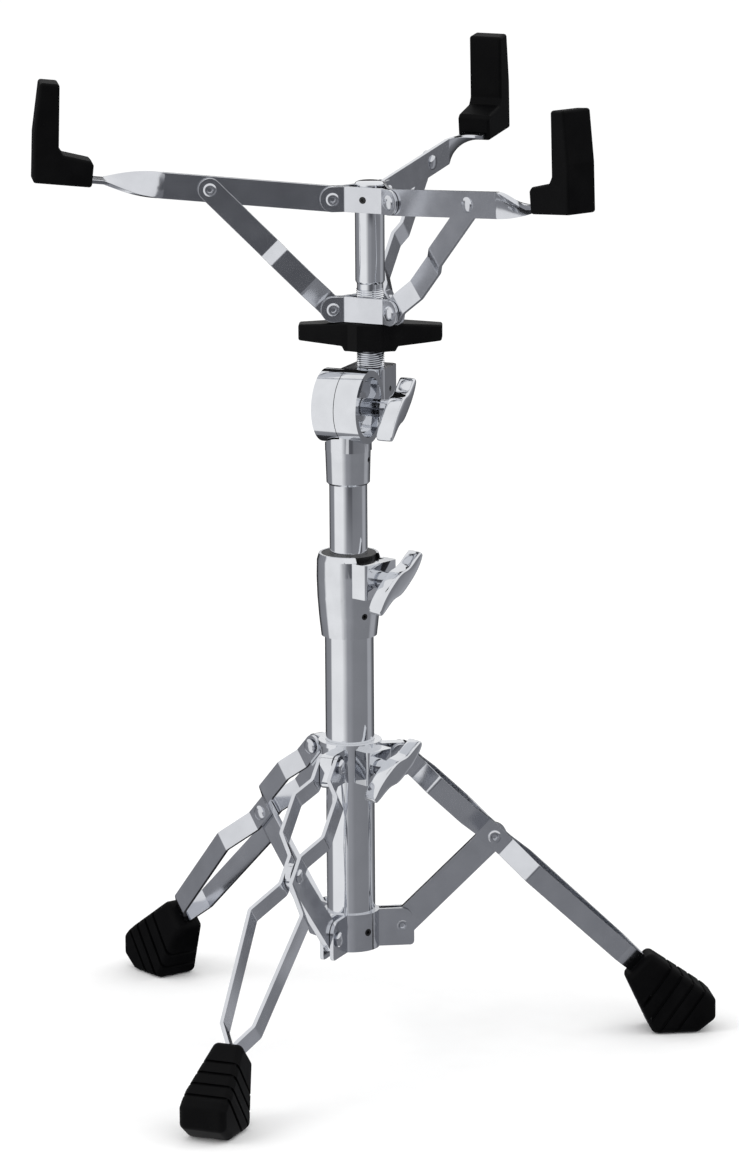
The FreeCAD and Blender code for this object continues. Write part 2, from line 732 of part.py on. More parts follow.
def base_collar():
    """Pressed ring with a pair of ears for each brace."""
    body = new_body("base_collar")
    revolve(body, [("tube_radius", "base_collar_bottom"), ("base_ring_radius", "base_collar_bottom"),
                   ("base_ring_radius", "base_collar_top"), ("tube_radius", "base_collar_top")])
    inner = "brace_thick / 2 + side_clear"
    ears = pad(body, outline(body, "XZ_Plane", [
        ("base_ring_radius - tube_wall", "base_collar_bottom"), ("ear_end", "base_collar_bottom"),
        ("ear_end", "base_collar_top"), ("base_ring_radius - tube_wall", "base_collar_top")]),
        f"({inner} + ear_thick) * 2")
    below = "base_collar_bottom - overrun"
    above = "base_collar_top + overrun"
    slot = pocket(body, outline(body, "XZ_Plane", [
        ("base_ring_radius", below), ("ear_end + overrun", below),
        ("ear_end + overrun", above), ("base_ring_radius", above)]), f"({inner}) * 2")
    pivot = ("leg_pivot_radius", "leg_low_pivot_height")
    hole = pocket(body, circle(body, "XZ_Plane", pivot, "rivet_radius"))
    third_turns(body, [ears, slot, hole])

    def ear_edge(edge, level):
        middle = edge.CenterOfMass
        outside = Vector(middle.x, middle.y, 0).Length > size("ear_end") - NEAR
        return outside and near(middle.z, level) and near(edge.Length, "ear_thick")
    round_edges(body, "ear_corner", lambda edge: ear_edge(edge, "base_collar_top"))
    round_edges(body, "ear_low_corner", lambda edge: ear_edge(edge, "base_collar_bottom"))
    vent = Placement(Vector(0, size("(base_collar_bottom + base_collar_top) / 2"), 0), Rotation(SIDE, SIXTH))
    pocket(body, circle(body, "YZ_Plane", ("0", "0"), "ear_hole_radius", pose=vent), "overrun", False, True)
    place(body, LEGS["front"])
    return node(body.Label, body)


def pivot_rivets(label, half, radius, height, facing=1, around=LEGS, standing=place):
    members = []
    for name, azimuth in around.items():
        members.append(rivet(f"{label}_{name}", f"-({half})", half,
                             lambda body: standing(body, azimuth, radius, height), facing))
    return group(label, members)


def boss_outline(half, face, inner):
    return [(inner, f"-{half}"), (face, f"-{half}"), (face, half), (inner, half)]


def round_boss(body, half, face):
    """Round the two upright corners of a boss."""
    corner = size(f"sqrt(({half}) ^ 2 + ({face}) ^ 2)")

    def upright(edge):
        middle = edge.CenterOfMass
        return runs(edge, UP) and abs(Vector(middle.x, middle.y, 0).Length - corner) < NEAR
    round_edges(body, "boss_corner", upright)


def leg_collar():
    """Cast collar with three lugs for the leg tops and a flat boss for the wing screw."""
    body = new_body("leg_collar")
    low = "top_pivot_height - leg_collar_low"
    high = "top_pivot_height + leg_collar_high"
    bore = "tube_radius + slide_clear"
    top = f"{high} - leg_flange_thick"
    revolve(body, [(bore, low), ("leg_collar_radius", low), ("leg_collar_radius", top),
                   ("leg_flange_radius", top), ("leg_flange_radius", high), (bore, high)])
    start = "(tube_radius + leg_collar_radius) / 2"
    lug = pad(body, outline(body, "XZ_Plane", [
        (start, low), ("lug_end", low), ("lug_end", top), (start, top)]), "lug_thick")
    hole = pocket(body, circle(body, "XZ_Plane", ("leg_pivot_radius", "top_pivot_height"), "rivet_radius"))
    third_turns(body, [lug, hole])

    def outer_corner(edge):
        middle = edge.CenterOfMass
        reach = Vector(middle.x, middle.y, 0).Length
        return near(reach, "lug_end") and near(edge.Length, "lug_thick")
    round_edges(body, "lug_corner", outer_corner)
    aside = size("leg_bolt_azimuth") - LEGS["front"]
    pad(body, outline(body, "XY_Plane", boss_outline("leg_boss_half", "leg_boss_face", start),
                      pose=Placement(Vector(0, 0, size(low)), Rotation(UP, aside))),
        "leg_collar_low + leg_collar_high - leg_flange_thick", False)
    round_boss(body, "leg_boss_half", "leg_boss_face")
    spot = Placement(Vector(0, size("leg_bolt_height"), 0), Rotation(SIDE, aside))
    pocket(body, circle(body, "YZ_Plane", ("0", "0"), "screw_radius + pivot_clear", pose=spot),
           "overrun", False, True)
    place(body, LEGS["front"])
    return node(body.Label, body)


CLAMP_BARREL_SHARES = [(0.24, 0.5), (0.48, 0.85), (0.72, 1.0), (0.92, 0.92)]


def height_collar():
    """Clamp collar: barrel-shaped shell with a wide boss and a notched rim."""
    body = new_body("height_collar")
    bore = "tube_radius"
    rise = "(clamp_top - clamp_bottom)"
    barrel = [(f"clamp_foot_radius + clamp_bulge * {out}", f"clamp_bottom + {rise} * {up}")
              for up, out in CLAMP_BARREL_SHARES]
    revolve(body, [(bore, "clamp_bottom"), ("clamp_foot_radius", "clamp_bottom"), *barrel,
                   ("clamp_top_radius", "clamp_top"), ("bush_flange_radius", "clamp_top"),
                   ("bush_flange_radius", "bush_seat"), (bore, "bush_seat")])
    start = "(tube_radius + clamp_foot_radius) / 2"
    pad(body, outline(body, "XY_Plane", boss_outline("clamp_boss_half", "clamp_boss_face", start),
                      "clamp_boss_bottom"), "clamp_boss_top - clamp_boss_bottom", False)
    round_boss(body, "clamp_boss_half", "clamp_boss_face")
    seat = circle(body, "XY_Plane", ("0", "0"), "bush_flange_radius", "bush_seat")
    pocket(body, seat, "overrun", False, True)
    notch = boss_outline("clamp_notch_half", "clamp_foot_radius + clamp_bulge", "0")
    pocket(body, outline(body, "XY_Plane", notch, "clamp_top - clamp_notch"), "overrun", False, True)
    pocket(body, circle(body, "YZ_Plane", ("0", "clamp_bolt_height"), "screw_radius + pivot_clear"),
           "overrun", False, True)
    spot = Placement(Vector(0, size("clamp_hole_height"), 0),
                     Rotation(SIDE, size("clamp_hole_azimuth - clamp_bolt_azimuth")))
    pocket(body, circle(body, "YZ_Plane", ("0", "0"), "clamp_hole_radius", pose=spot), "overrun", False, True)
    place(body, size("clamp_bolt_azimuth"))
    return node(body.Label, body)


def height_bush():
    """Nylon bush: sleeve inside the base tube, head inside the collar, flange let into its rim."""
    body = new_body("height_bush")
    bore = "mast_radius + slide_clear"
    inner = "tube_radius - tube_wall"
    revolve(body, [(bore, "bush_bottom"), (inner, "bush_bottom"), (inner, "tube_top"),
                   ("tube_radius", "tube_top"), ("tube_radius", "bush_seat"),
                   ("bush_flange_radius", "bush_seat"), ("bush_flange_radius", "bush_top"),
                   (bore, "bush_top")])
    pocket(body, circle(body, "YZ_Plane", ("0", "clamp_bolt_height"), "screw_radius + side_clear"),
           "overrun", False, True)
    place(body, size("clamp_bolt_azimuth"))
    return node(body.Label, body)


def mast():
    tube = combine("Cut", cylinder("mast_radius", "mast_bottom", "mast_top"),
                   cylinder("mast_radius - mast_wall", "mast_bottom - overrun", "mast_top + overrun"))
    return node("upper_tube", tube)


def tube_guide():
    """Nylon plug that guides the lower end of the upper tube."""
    body = new_body("tube_guide")
    revolve(body, [("0", "guide_bottom"), ("tube_radius - tube_wall - slide_clear", "guide_bottom"),
                   ("tube_radius - tube_wall - slide_clear", "mast_bottom"),
                   ("mast_radius - mast_wall - pivot_clear", "mast_bottom"),
                   ("mast_radius - mast_wall - pivot_clear", "mast_bottom + guide_spigot"),
                   ("0", "mast_bottom + guide_spigot")])
    return node(body.Label, body)


def tilter_base():
    """Fixed disc of the tilter with its ribbed recess, neck and sleeve for the upper tube."""
    body = new_body("tilter_base")
    revolve(body, [("0", "mast_top"), ("mast_radius", "mast_top"), ("mast_radius", "sleeve_bottom"),
                   ("sleeve_bottom_radius - sleeve_chamfer", "sleeve_bottom"),
                   ("sleeve_bottom_radius", "sleeve_bottom + sleeve_chamfer"),
                   ("sleeve_top_radius", "sleeve_top"), ("0", "sleeve_top")])
    middle = ("0", "tilt_height")
    pad(body, circle(body, "YZ_Plane", middle, "tilt_radius", "tilt_split"), "tilt_half - tilt_split", False)
    neck_top = "sleeve_top + neck_half / 2"
    pad(body, outline(body, "YZ_Plane", [
        ("-neck_half", "mast_top"), ("neck_half", "mast_top"), ("neck_half", neck_top),
        ("-neck_half", neck_top)], "tilt_split"), "neck_width - tilt_split * 2", False)
    pad(body, circle(body, "XY_Plane", ("0", "0"), "sleeve_top_radius", "mast_top"),
        f"{neck_top} - mast_top", False)
    pocket(body, circle(body, "YZ_Plane", middle, "tilt_radius + sleeve_gap", "tilt_split"), "overrun", False)
    pocket(body, circle(body, "YZ_Plane", middle, "tilt_recess_radius", "tilt_half"),
           "tilt_half - tilt_recess_floor", False)
    for across, upward in (("tilt_rib_half", "tilt_recess_radius"), ("tilt_recess_radius", "tilt_rib_half")):
        pad(body, outline(body, "YZ_Plane", [
            (f"-{across}", f"tilt_height - {upward}"), (across, f"tilt_height - {upward}"),
            (across, f"tilt_height + {upward}"), (f"-{across}", f"tilt_height + {upward}")],
            "tilt_recess_floor - pivot_clear"), "tilt_rib_face - tilt_recess_floor", False)
    pocket(body, circle(body, "YZ_Plane", middle, "tilt_washer_radius + side_clear", "tilt_half"),
           "tilt_half - tilt_recess_floor", False)
    pocket(body, circle(body, "YZ_Plane", middle, "screw_radius + pivot_clear"), "overrun")
    pocket(body, circle(body, "YZ_Plane", ("0", "sleeve_hole_height"), "holder_hole_radius"),
           "overrun", False, True)
    return node(body.Label, body)


def tilter_head():
    """Turning disc of the tilter with the holder for the basket shaft behind it."""
    body = new_body("tilter_head")
    middle = ("0", "tilt_height")
    pad(body, circle(body, "YZ_Plane", middle, "tilt_radius", "-tilt_half"), "tilt_half - tilt_split", False)
    pad(body, outline(body, "YZ_Plane", [
        ("0", "holder_bottom"), ("tilt_offset", "holder_bottom"), ("tilt_offset", "holder_top"),
        ("0", "holder_top")], "-holder_half"), "holder_half - tilt_split", False)
    pad(body, outline(body, "XY_Plane", [
        ("-holder_half", "holder_front"), ("holder_half", "holder_front"), ("holder_half", "holder_back"),
        ("-holder_half", "holder_back")], "holder_bottom"), "holder_top - holder_bottom", False)

    def block_corner(edge):
        middle = edge.CenterOfMass
        behind = near(middle.y, "holder_back") or near(middle.x, "holder_half")
        return runs(edge, UP) and near(edge.Length, "holder_top - holder_bottom") and behind
    round_edges(body, "holder_corner", block_corner)
    pocket(body, circle(body, "XY_Plane", ("0", "tilt_offset"), "thread_radius", "holder_top"),
           "holder_top - thread_bottom", False)
    pocket(body, circle(body, "YZ_Plane", middle, "tilt_head_radius", "-tilt_half"),
           "tilt_head_thick", False, True)
    pocket(body, circle(body, "YZ_Plane", middle, "screw_radius + pivot_clear"), "overrun")
    pocket(body, circle(body, "YZ_Plane", ("tilt_offset", "(holder_bottom + holder_top) / 2"),
                        "holder_hole_radius"), "overrun", False, True)
    return node(body.Label, body)


def lie_on_tilter(thing, station, turn=0.0):
    """Lay an upright thing along the tilter axis, turned about it."""
    spot = Vector(size(station), 0, size("tilt_height"))
    thing.Placement = Placement(spot, Rotation(SIDE, RIGHT_ANGLE) * Rotation(UP, turn))


def tilter_bolt():
    head = cylinder("tilt_head_radius - pivot_clear", "0", "tilt_head_thick")
    stem = cylinder("screw_radius", "0", "tilt_half + tilt_wing_start + wing_depth / 2")
    bolt = combine("Fuse", head, stem)
    lie_on_tilter(bolt, "-tilt_half")
    return node("tilter_bolt", bolt)


def tilter_washer():
    ring = combine("Cut", cylinder("tilt_washer_radius", "0", "tilt_washer_thick"),
                   cylinder("screw_radius + pivot_clear", "-overrun", "overrun"))
    lie_on_tilter(ring, "tilt_recess_floor")
    return node("tilter_washer", ring)


def soften(solid, radius):
    """Round every edge of a moulded or cast form."""
    soft = doc.addObject("Part::Fillet", "Soft")
    soft.Base = solid
    soft.Edges = [(i, size(radius), size(radius)) for i, edge in enumerate(solid.Shape.Edges, 1)]
    doc.recompute()
    return soft


WING_OUTLINE_SHARES = [(1.0, -0.3), (1.0, 0.3), (0.5, 0.34), (0.16, 1.0), (-0.36, 1.0), (-0.7, 0.76)]


def wing(label, start):
    """An S-shaped handle: two lobes swept opposite ways, the same when turned by half."""
    body = new_body(f"{label}_wing")
    half = [(f"wing_half * {along}", f"wing_crest * {across}") for along, across in WING_OUTLINE_SHARES]
    turned = [(f"-({along})", f"-({across})") for along, across in half]
    pad(body, outline(body, "XY_Plane", half + turned, start), "wing_depth", False)
    return soften(body, "wing_round")


def wing_screw(label, tip, face, start, azimuth, height, angle):
    """A wing screw pointing at the tube axis."""
    body = new_body(f"{label}_stem")
    collar = f"{face} + screw_collar_gap"
    root = f"{start} + wing_depth / 2"
    revolve(body, [("0", tip), ("screw_radius", tip), ("screw_radius", collar),
                   ("screw_collar_radius", collar), ("screw_collar_radius", root), ("0", root)])
    screw = combine("Fuse", wing(label, start), body)
    place(screw, size(azimuth), "0", height, RIGHT_ANGLE)
    screw.Placement = screw.Placement * Placement(Vector(), Rotation(UP, RIGHT_ANGLE + size(angle)))
    return node(label, screw)


def tilter_wing_nut():
    body = new_body("tilter_wing_nut_stem")
    low = "tilt_recess_floor + tilt_washer_thick + side_clear"
    root = "tilt_wing_start + wing_depth / 2"
    revolve(body, [("0", low), ("screw_collar_radius", low), ("screw_collar_radius", root), ("0", root)])
    whole = combine("Fuse", wing("tilter_wing_nut", "tilt_wing_start"), body)
    nut = combine("Cut", whole, cylinder("screw_radius + pivot_clear", "-overrun", f"{root} + pivot_clear"))
    lie_on_tilter(nut, "0", RIGHT_ANGLE + size("tilt_wing_angle"))
    return node("tilter_wing_nut", nut)


def basket_shaft():
    """Threaded rod with a smooth sleeve above it and a low dome on top."""
    body = new_body("basket_shaft")
    relief = "thread_radius - shaft_swell"
    revolve(body, [("0", "thread_bottom"), ("thread_radius", "thread_bottom"),
                   ("thread_radius", "thread_top"), (relief, "thread_top"),
                   (relief, "shaft_start - shaft_dome"),
                   ("shaft_radius", "shaft_start"), ("shaft_radius", "shaft_top"),
                   *dome("shaft_radius", "shaft_top", "shaft_dome")])
    place_basket(body, 0, "0", "0")
    return node(body.Label, body)


def basket_nut():
    """Plastic wing nut under the lower hub."""
    profile = new_body("basket_nut_profile")
    half = [("nut_hub_radius", "nut_bottom"), ("nut_shoulder", "nut_bottom + wing_round * 2"),
            ("nut_span_half", "nut_wing_bottom"), ("nut_span_half", "nut_wing_top"),
            ("nut_shoulder", "nut_top")]
    mirrored = [(f"-{across}", upward) for across, upward in reversed(half)]
    pad(profile, outline(profile, "XZ_Plane", half + mirrored), "nut_hub_radius * 2")
    front = new_body("basket_nut_front")
    hub = f"nut_hub_radius * {DOME_WAIST_SHARE}"
    waist = f"nut_hub_radius * {DOME_TOP_SHARE}"
    quarter = [("nut_span_half", "nut_tip_half"), ("nut_hub_radius * 2", "nut_wing_half"),
               (hub, "nut_wing_half + wing_round"), (waist, f"{hub} - wing_round")]
    upper = quarter + [(f"-({across})", upward) for across, upward in reversed(quarter)]
    lower = [(across, f"-({upward})") for across, upward in reversed(upper)]
    pad(front, outline(front, "XY_Plane", upper + lower), "nut_top + overrun", False)
    soft = soften(combine("Common", profile, front), "nut_round")
    bore = cylinder("thread_radius + slide_clear", "nut_bottom - overrun", "nut_top + overrun")
    nut = combine("Cut", soft, bore)
    place_basket(nut, size("nut_azimuth"), "0", "0")
    return node("basket_nut", nut)


EAR_OFFSET = "strut_thick / 2 + side_clear + plate_thick / 2"
EAR_REACH = "hub_pivot_radius + plate_round"


def hub_plate(label, azimuth, height, clear, holed):
    """One of three bent plates of a hub: a flat against the shaft and an ear towards each arm."""
    body = new_body(label)
    flat = f"shaft_radius + {clear} + plate_thick / 2"
    bend = f"({flat} - ({EAR_OFFSET}) * cos(30)) / sin(30) * cos(30) - ({EAR_OFFSET}) * sin(30)"
    tip = (f"({EAR_REACH}) * sin(30) + ({EAR_OFFSET}) * cos(30)",
           f"({EAR_REACH}) * cos(30) - ({EAR_OFFSET}) * sin(30)")
    plate_spine(body, [(tip[0], f"-({tip[1]})"), (flat, f"-({bend})"), (flat, bend), tip])
    for side in (-1, 1):
        ear = Placement(Vector(), Rotation(SIDE, side * SIXTH))
        pocket(body, circle(body, "XZ_Plane", ("hub_pivot_radius", "0"), "rivet_radius", pose=ear),
               f"(({EAR_OFFSET}) + plate_thick) * 2")
    if holed:
        pocket(body, circle(body, "YZ_Plane", ("0", "0"), "plate_hole_radius"), "overrun", False, True)
    place_basket(body, azimuth, "0", height)
    return node(label, body)


def plate_spine(body, spine):
    """A bent plate whose first leg is not square to the section plane."""
    path = lines(sketch_on(body, "XY_Plane"), spine, False)
    start = Vector(size(spine[0][0]), size(spine[0][1]), 0)
    upright = Rotation(UP, RIGHT_ANGLE - SIXTH) * Rotation(ALONG, RIGHT_ANGLE)
    section = sketch_on(body, "XY_Plane", pose=Placement(start, upright))
    lines(section, oblong("plate_thick / 2", "hub_depth / 2"), True)
    doc.recompute()
    sweep = body.newObject("PartDesign::AdditivePipe", f"{body.Name}Strip")
    sweep.Profile = section
    sweep.Spine = (path, [f"Edge{i}" for i in range(1, len(spine))])
    sweep.Transition = "Right corner"
    doc.recompute()
    round_bends(body, spine, "plate_thick", "plate_bend")

    def ear_end(edge):
        middle = edge.CenterOfMass
        reach = Vector(middle.x, middle.y, 0).Length
        at_edge = near(abs(middle.z), "hub_depth / 2") and near(edge.Length, "plate_thick")
        return at_edge and reach > size(EAR_REACH) - NEAR
    round_edges(body, "plate_round", ear_end)


STRUT_OFFSET = "arm_thick / 2 + side_clear + strut_thick / 2"
JOINT_RADIUS = "hub_pivot_radius + arm_joint * cos(arm_rise)"
JOINT_HEIGHT = "upper_hub_height + arm_joint * sin(arm_rise)"
STRUT_RUN = f"({JOINT_RADIUS} - hub_pivot_radius)"
STRUT_RISE = f"({JOINT_HEIGHT} - lower_hub_height)"
STRUT_LENGTH = f"sqrt({STRUT_RUN} ^ 2 + {STRUT_RISE} ^ 2)"
STRUT_PITCH = -size(f"atan2({STRUT_RISE}; {STRUT_RUN})")
ARM_PITCH = -size("arm_rise")


TWIST_STEPS = 6


def arm(name, azimuth):
    """Basket arm: a strip on edge that twists flat into a tongue for the pad."""
    body = new_body(f"arm_{name}")
    half = "arm_depth / 2"
    start = "arm_twist_start"
    pad(body, outline(body, "XZ_Plane", [("-arm_end", f"-{half}"), (start, f"-{half}"), (start, half),
                                         ("-arm_end", half)]), "arm_thick")
    round_edges(body, f"arm_end * {FULL_ROUND_SHARE}",
                lambda edge: near(edge.CenterOfMass.x, "-arm_end") and runs(edge, SIDE))
    cross_hole(body, "0", "rivet_radius + pivot_clear")
    cross_hole(body, "arm_joint", "rivet_radius")
    sections = []
    for step in range(TWIST_STEPS + 1):
        spot = size(f"{start} + arm_twist * {step} / {TWIST_STEPS}")
        twist = Rotation(UP, RIGHT_ANGLE * step / TWIST_STEPS)
        sections.append(outline(body, "YZ_Plane", oblong("arm_thick / 2", half),
                                pose=Placement(Vector(0, 0, spot), twist)))
    doc.recompute()
    loft = body.newObject("PartDesign::AdditiveLoft", f"{body.Name}Twist")
    loft.Profile = sections[0]
    loft.Sections = sections[1:]
    loft.Ruled = False
    doc.recompute()
    pad(body, outline(body, "YZ_Plane", oblong(half, "arm_thick / 2"), "arm_twist_end"),
        "arm_tip - arm_twist_end", False)
    place_basket(body, azimuth, "hub_pivot_radius", "upper_hub_height", ARM_PITCH)
    return node(body.Label, body)


def basket_pad(name, azimuth):
    """L-shaped rubber grip on the tongue of an arm."""
    body = new_body(f"pad_{name}")
    pad(body, outline(body, "XZ_Plane", [
        ("pad_mouth", "pad_bottom"), ("pad_back", "pad_bottom"), ("pad_waist_back", "pad_waist_height"),
        ("pad_top_back", "pad_top"), ("pad_top_front", "pad_top"), ("pad_face", "pad_face_height"),
        ("pad_seat_end", "pad_seat_height"), ("pad_seat_start", "pad_seat_front_height"),
        ("pad_mouth", "pad_toe_height")]), "pad_width")
    round_edges(body, "pad_round", lambda edge: True)
    pocket(body, outline(body, "YZ_Plane", oblong("arm_depth / 2", "arm_thick / 2"), "arm_twist_end"),
           "arm_tip - arm_twist_end", False, True)
    place_basket(body, azimuth, "hub_pivot_radius", "upper_hub_height", ARM_PITCH)
    return node(body.Label, body)


def strut(name, azimuth):
    """Link from the lower hub up to the side of an arm, stepped sideways to clear the hub."""
    body = new_body(f"strut_{name}")
    spine = [("-strut_end", "0"), ("strut_low_flat", "0"), ("strut_step_top", "strut_bow"),
             ("strut_bow_end", "strut_bow"), ("strut_upper_flat", STRUT_OFFSET),
             (f"{STRUT_LENGTH} + strut_end", STRUT_OFFSET)]
    bent_strip(body, spine, "strut_thick", "strut_width")
    round_bends(body, spine, "strut_thick", "strip_bend")
    round_strip_end(body, "-strut_end", "strut_width")
    round_strip_end(body, f"{STRUT_LENGTH} + strut_end", "strut_width")
    cross_hole(body, "0", "rivet_radius + pivot_clear")
    cross_hole(body, STRUT_LENGTH, "rivet_radius")
    place_basket(body, azimuth, "hub_pivot_radius", "lower_hub_height", STRUT_PITCH)
    return node(body.Label, body)


def joint_rivets(name, azimuth):
    """The rivet between arm and strut, parted at the face where the two strips meet."""
    def at_joint(body):
        place_basket(body, azimuth, JOINT_RADIUS, JOINT_HEIGHT)
    arm_half = "arm_thick / 2"
    head = rivet(f"arm_rivet_{name}", f"-{arm_half}", arm_half, at_joint, -1, False, True)
    node(f"arm_rivet_{name}", head)
    low = f"{STRUT_OFFSET} - strut_thick / 2"
    high = f"{STRUT_OFFSET} + strut_thick / 2"
    tail = rivet(f"strut_rivet_{name}", f"-({high})", f"-({low})", at_joint, -1, True, False)
    node(f"strut_rivet_{name}", tail)


base_tube()
base_collar()
pivot_rivets("base_pivot_rivets", "brace_thick / 2 + side_clear + ear_thick",
             "leg_pivot_radius", "leg_low_pivot_height")
for name, azimuth in LEGS.items():
    for side, mark in (("-1", "a"), ("1", "b")):
        leg_strip(name, azimuth, side, mark)
    leg_rivet(name, azimuth)
    brace(name, azimuth)
    foot(name, azimuth)
leg_collar()
pivot_rivets("leg_collar_rivets", "lug_thick / 2 + side_clear + strip_thick",
             "leg_pivot_radius", "top_pivot_height")
height_collar()
height_bush()
mast()
tube_guide()
tilter_base()
tilter_head()
tilter_bolt()
tilter_washer()
tilter_wing_nut()
wing_screw("leg_wing_bolt", "tube_radius + side_clear", "leg_boss_face", "leg_wing_start",
           "leg_bolt_azimuth", "leg_bolt_height", "leg_wing_angle")
wing_screw("height_wing_bolt", "mast_radius + side_clear", "clamp_boss_face", "clamp_wing_start",
           "clamp_bolt_azimuth", "clamp_bolt_height", "clamp_wing_angle")
basket_shaft()
basket_nut()
for level, clear in (("upper", "pivot_clear"), ("lower", "hub_clear")):
    height = f"{level}_hub_height"
    for name, azimuth in LEGS.items():
        hub_plate(f"{level}_plate_{name}", azimuth, height, clear, level == "upper")
    pivot_rivets(f"{level}_hub_rivets", f"{EAR_OFFSET} + plate_thick / 2", "hub_pivot_radius", height,
                 -1, ARMS, place_basket)
for name, azimuth in ARMS.items():
    arm(name, azimuth)
    basket_pad(name, azimuth)
    strut(name, azimuth)
    joint_rivets(name, azimuth)
doc.recompute()

span = FreeCAD.BoundBox()
for thing in NODES.values():
    span.add(thing.Shape.optimalBoundingBox())
for thing in NODES.values():
    thing.Placement.Base -= Vector(span.Center.x, span.Center.y, 0)
doc.recompute()

for thing in doc.Objects:
    if any(word in state for state in thing.State for word in ("Invalid", "Error")):
        raise ValueError(f"{thing.Label}: {thing.State}")
os.makedirs("parts", exist_ok=True)
for label, thing in NODES.items():
    shape = thing.Shape
    if shape.isNull() or not shape.isValid():
        raise ValueError(f"{label} is not a sound shape")
    shape.exportStep(f"parts/{label}.step")
print(len(NODES), "sub-parts written")
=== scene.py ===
# %% [markdown]
# A snare drum stand: a folding tripod of bent flat strips, a telescoping tube, a tilter and a
# three-arm basket with rubber grips. The measured solids come in as a fixed frame. This lesson
# dresses them. Most solids are copied, and the copies get narrow rounded edges. The pieces where
# more is needed, wing screws, rivets and the threaded rod, are modelled anew in the place of their
# solids. The neck of the tilter is cut round, and five small blackened set screws go into their
# holes, where their near-black also paints the shade inside the holes.

# %% Load the frame
import json
import math
import bmesh
import bpy
from mathutils import Matrix, Vector


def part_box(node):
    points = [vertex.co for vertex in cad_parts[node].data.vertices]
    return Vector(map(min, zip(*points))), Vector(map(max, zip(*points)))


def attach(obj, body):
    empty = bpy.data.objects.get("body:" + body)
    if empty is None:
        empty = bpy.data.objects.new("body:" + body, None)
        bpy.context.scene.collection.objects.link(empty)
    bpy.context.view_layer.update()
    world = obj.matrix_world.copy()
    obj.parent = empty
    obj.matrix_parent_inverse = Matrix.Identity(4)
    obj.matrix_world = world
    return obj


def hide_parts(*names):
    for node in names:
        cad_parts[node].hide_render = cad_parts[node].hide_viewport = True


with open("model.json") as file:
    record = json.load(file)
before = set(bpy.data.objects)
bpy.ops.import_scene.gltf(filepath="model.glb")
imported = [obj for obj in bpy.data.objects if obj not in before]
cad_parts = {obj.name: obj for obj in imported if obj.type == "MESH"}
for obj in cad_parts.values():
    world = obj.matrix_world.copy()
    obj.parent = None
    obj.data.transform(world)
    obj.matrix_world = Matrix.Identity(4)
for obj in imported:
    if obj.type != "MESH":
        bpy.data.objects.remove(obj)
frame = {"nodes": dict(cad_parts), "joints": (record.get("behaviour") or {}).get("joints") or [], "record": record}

MM = 0.001
MERGE = 0.002 * MM
FLAT_ANGLE, SMOOTH_ANGLE, SHARP_ANGLE = math.radians(0.5), math.radians(32), math.radians(38)
nodes = frame["nodes"]
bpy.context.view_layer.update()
joints = {joint["name"]: joint for joint in frame["joints"]}
slot_of = {part["node"]: part["material_slot"] for part in frame["record"]["subparts"]}
body_of = {node: body for body, members in frame["record"]["behaviour"]["bodies"].items()
           for node in members}

# %% [markdown]
# Colours are written as the hex values a painter would pick on screen. Shaders work in linear
# light, so one function turns a hex value into that. A second small function adds a node, sets
# its values and links what feeds it, which keeps each finish short enough to read at a glance.

# %% Colour and node helpers
def shade(code):
    """A hex colour as linear red, green, blue and alpha."""
    parts = [int(code[i:i + 2], 16) / 255 for i in (0, 2, 4)]
    return tuple(p / 12.92 if p <= 0.04045 else ((p + 0.055) / 1.055) ** 2.4 for p in parts) + (1.0,)


def add(tree, kind, sockets=(), stops=(), **settings):
    """Add a node with its settings, set or link its sockets, and fill the stops of a ramp."""
    made = tree.nodes.new(kind)
    for name, value in settings.items():
        setattr(made, name, value)
    for name, value in dict(sockets).items():
        if isinstance(value, bpy.types.NodeSocket):
            tree.links.new(value, made.inputs[name])
        else:
            made.inputs[name].default_value = value
    for index, (place, code) in enumerate(stops):
        points = made.color_ramp.elements
        point = points[index] if index < len(points) else points.new(place)
        point.position, point.color = place, shade(code)
    return made


def finish_named(name):
    """An empty material with its surface shader, and coordinates in metres on the object."""
    material = bpy.data.materials.new(name)
    material.use_nodes = True
    tree = material.node_tree
    surface = tree.nodes["Principled BSDF"]
    place = add(tree, "ShaderNodeTexCoord").outputs["Object"]
    return material, tree, surface, place


# %% [markdown]
# Chrome plate on steel is a mirror that is never quite clean. The plating follows the rolled
# strip under it, so the mirror is faintly clouded, and handling leaves fine hairlines. The
# clouding goes into the roughness, the hairlines into a shallow bump. Castings are polished by
# hand before plating, so theirs is a slower ripple with less haze. Drawn tube is the clearest.

# %% Chrome finishes
def chrome(name, dull, bright, low, high, cloud_mm, hair_mm, ripple):
    material, tree, surface, place = finish_named(name)
    surface.inputs["Metallic"].default_value = 1.0
    cloud = add(tree, "ShaderNodeTexNoise",
                {"Vector": place, "Scale": 1 / (cloud_mm * MM), "Detail": 3.0})
    haze = add(tree, "ShaderNodeMapRange", {"Value": cloud.outputs["Fac"], "From Min": 0.3,
                                            "From Max": 0.7, "To Min": low, "To Max": high})
    tree.links.new(haze.outputs["Result"], surface.inputs["Roughness"])
    tint = add(tree, "ShaderNodeValToRGB", {"Fac": cloud.outputs["Fac"]}, [(0.35, dull), (0.7, bright)])
    tree.links.new(tint.outputs["Color"], surface.inputs["Base Color"])
    stretch = add(tree, "ShaderNodeMapping", {"Vector": place, "Scale": (1.0, 1.0, 0.08)})
    hairs = add(tree, "ShaderNodeTexNoise",
                {"Vector": stretch.outputs["Vector"], "Scale": 1 / (hair_mm * MM), "Detail": 2.0})
    bump = add(tree, "ShaderNodeBump",
               {"Height": hairs.outputs["Fac"], "Strength": ripple, "Distance": 0.02 * MM})
    tree.links.new(bump.outputs["Normal"], surface.inputs["Normal"])
    return material


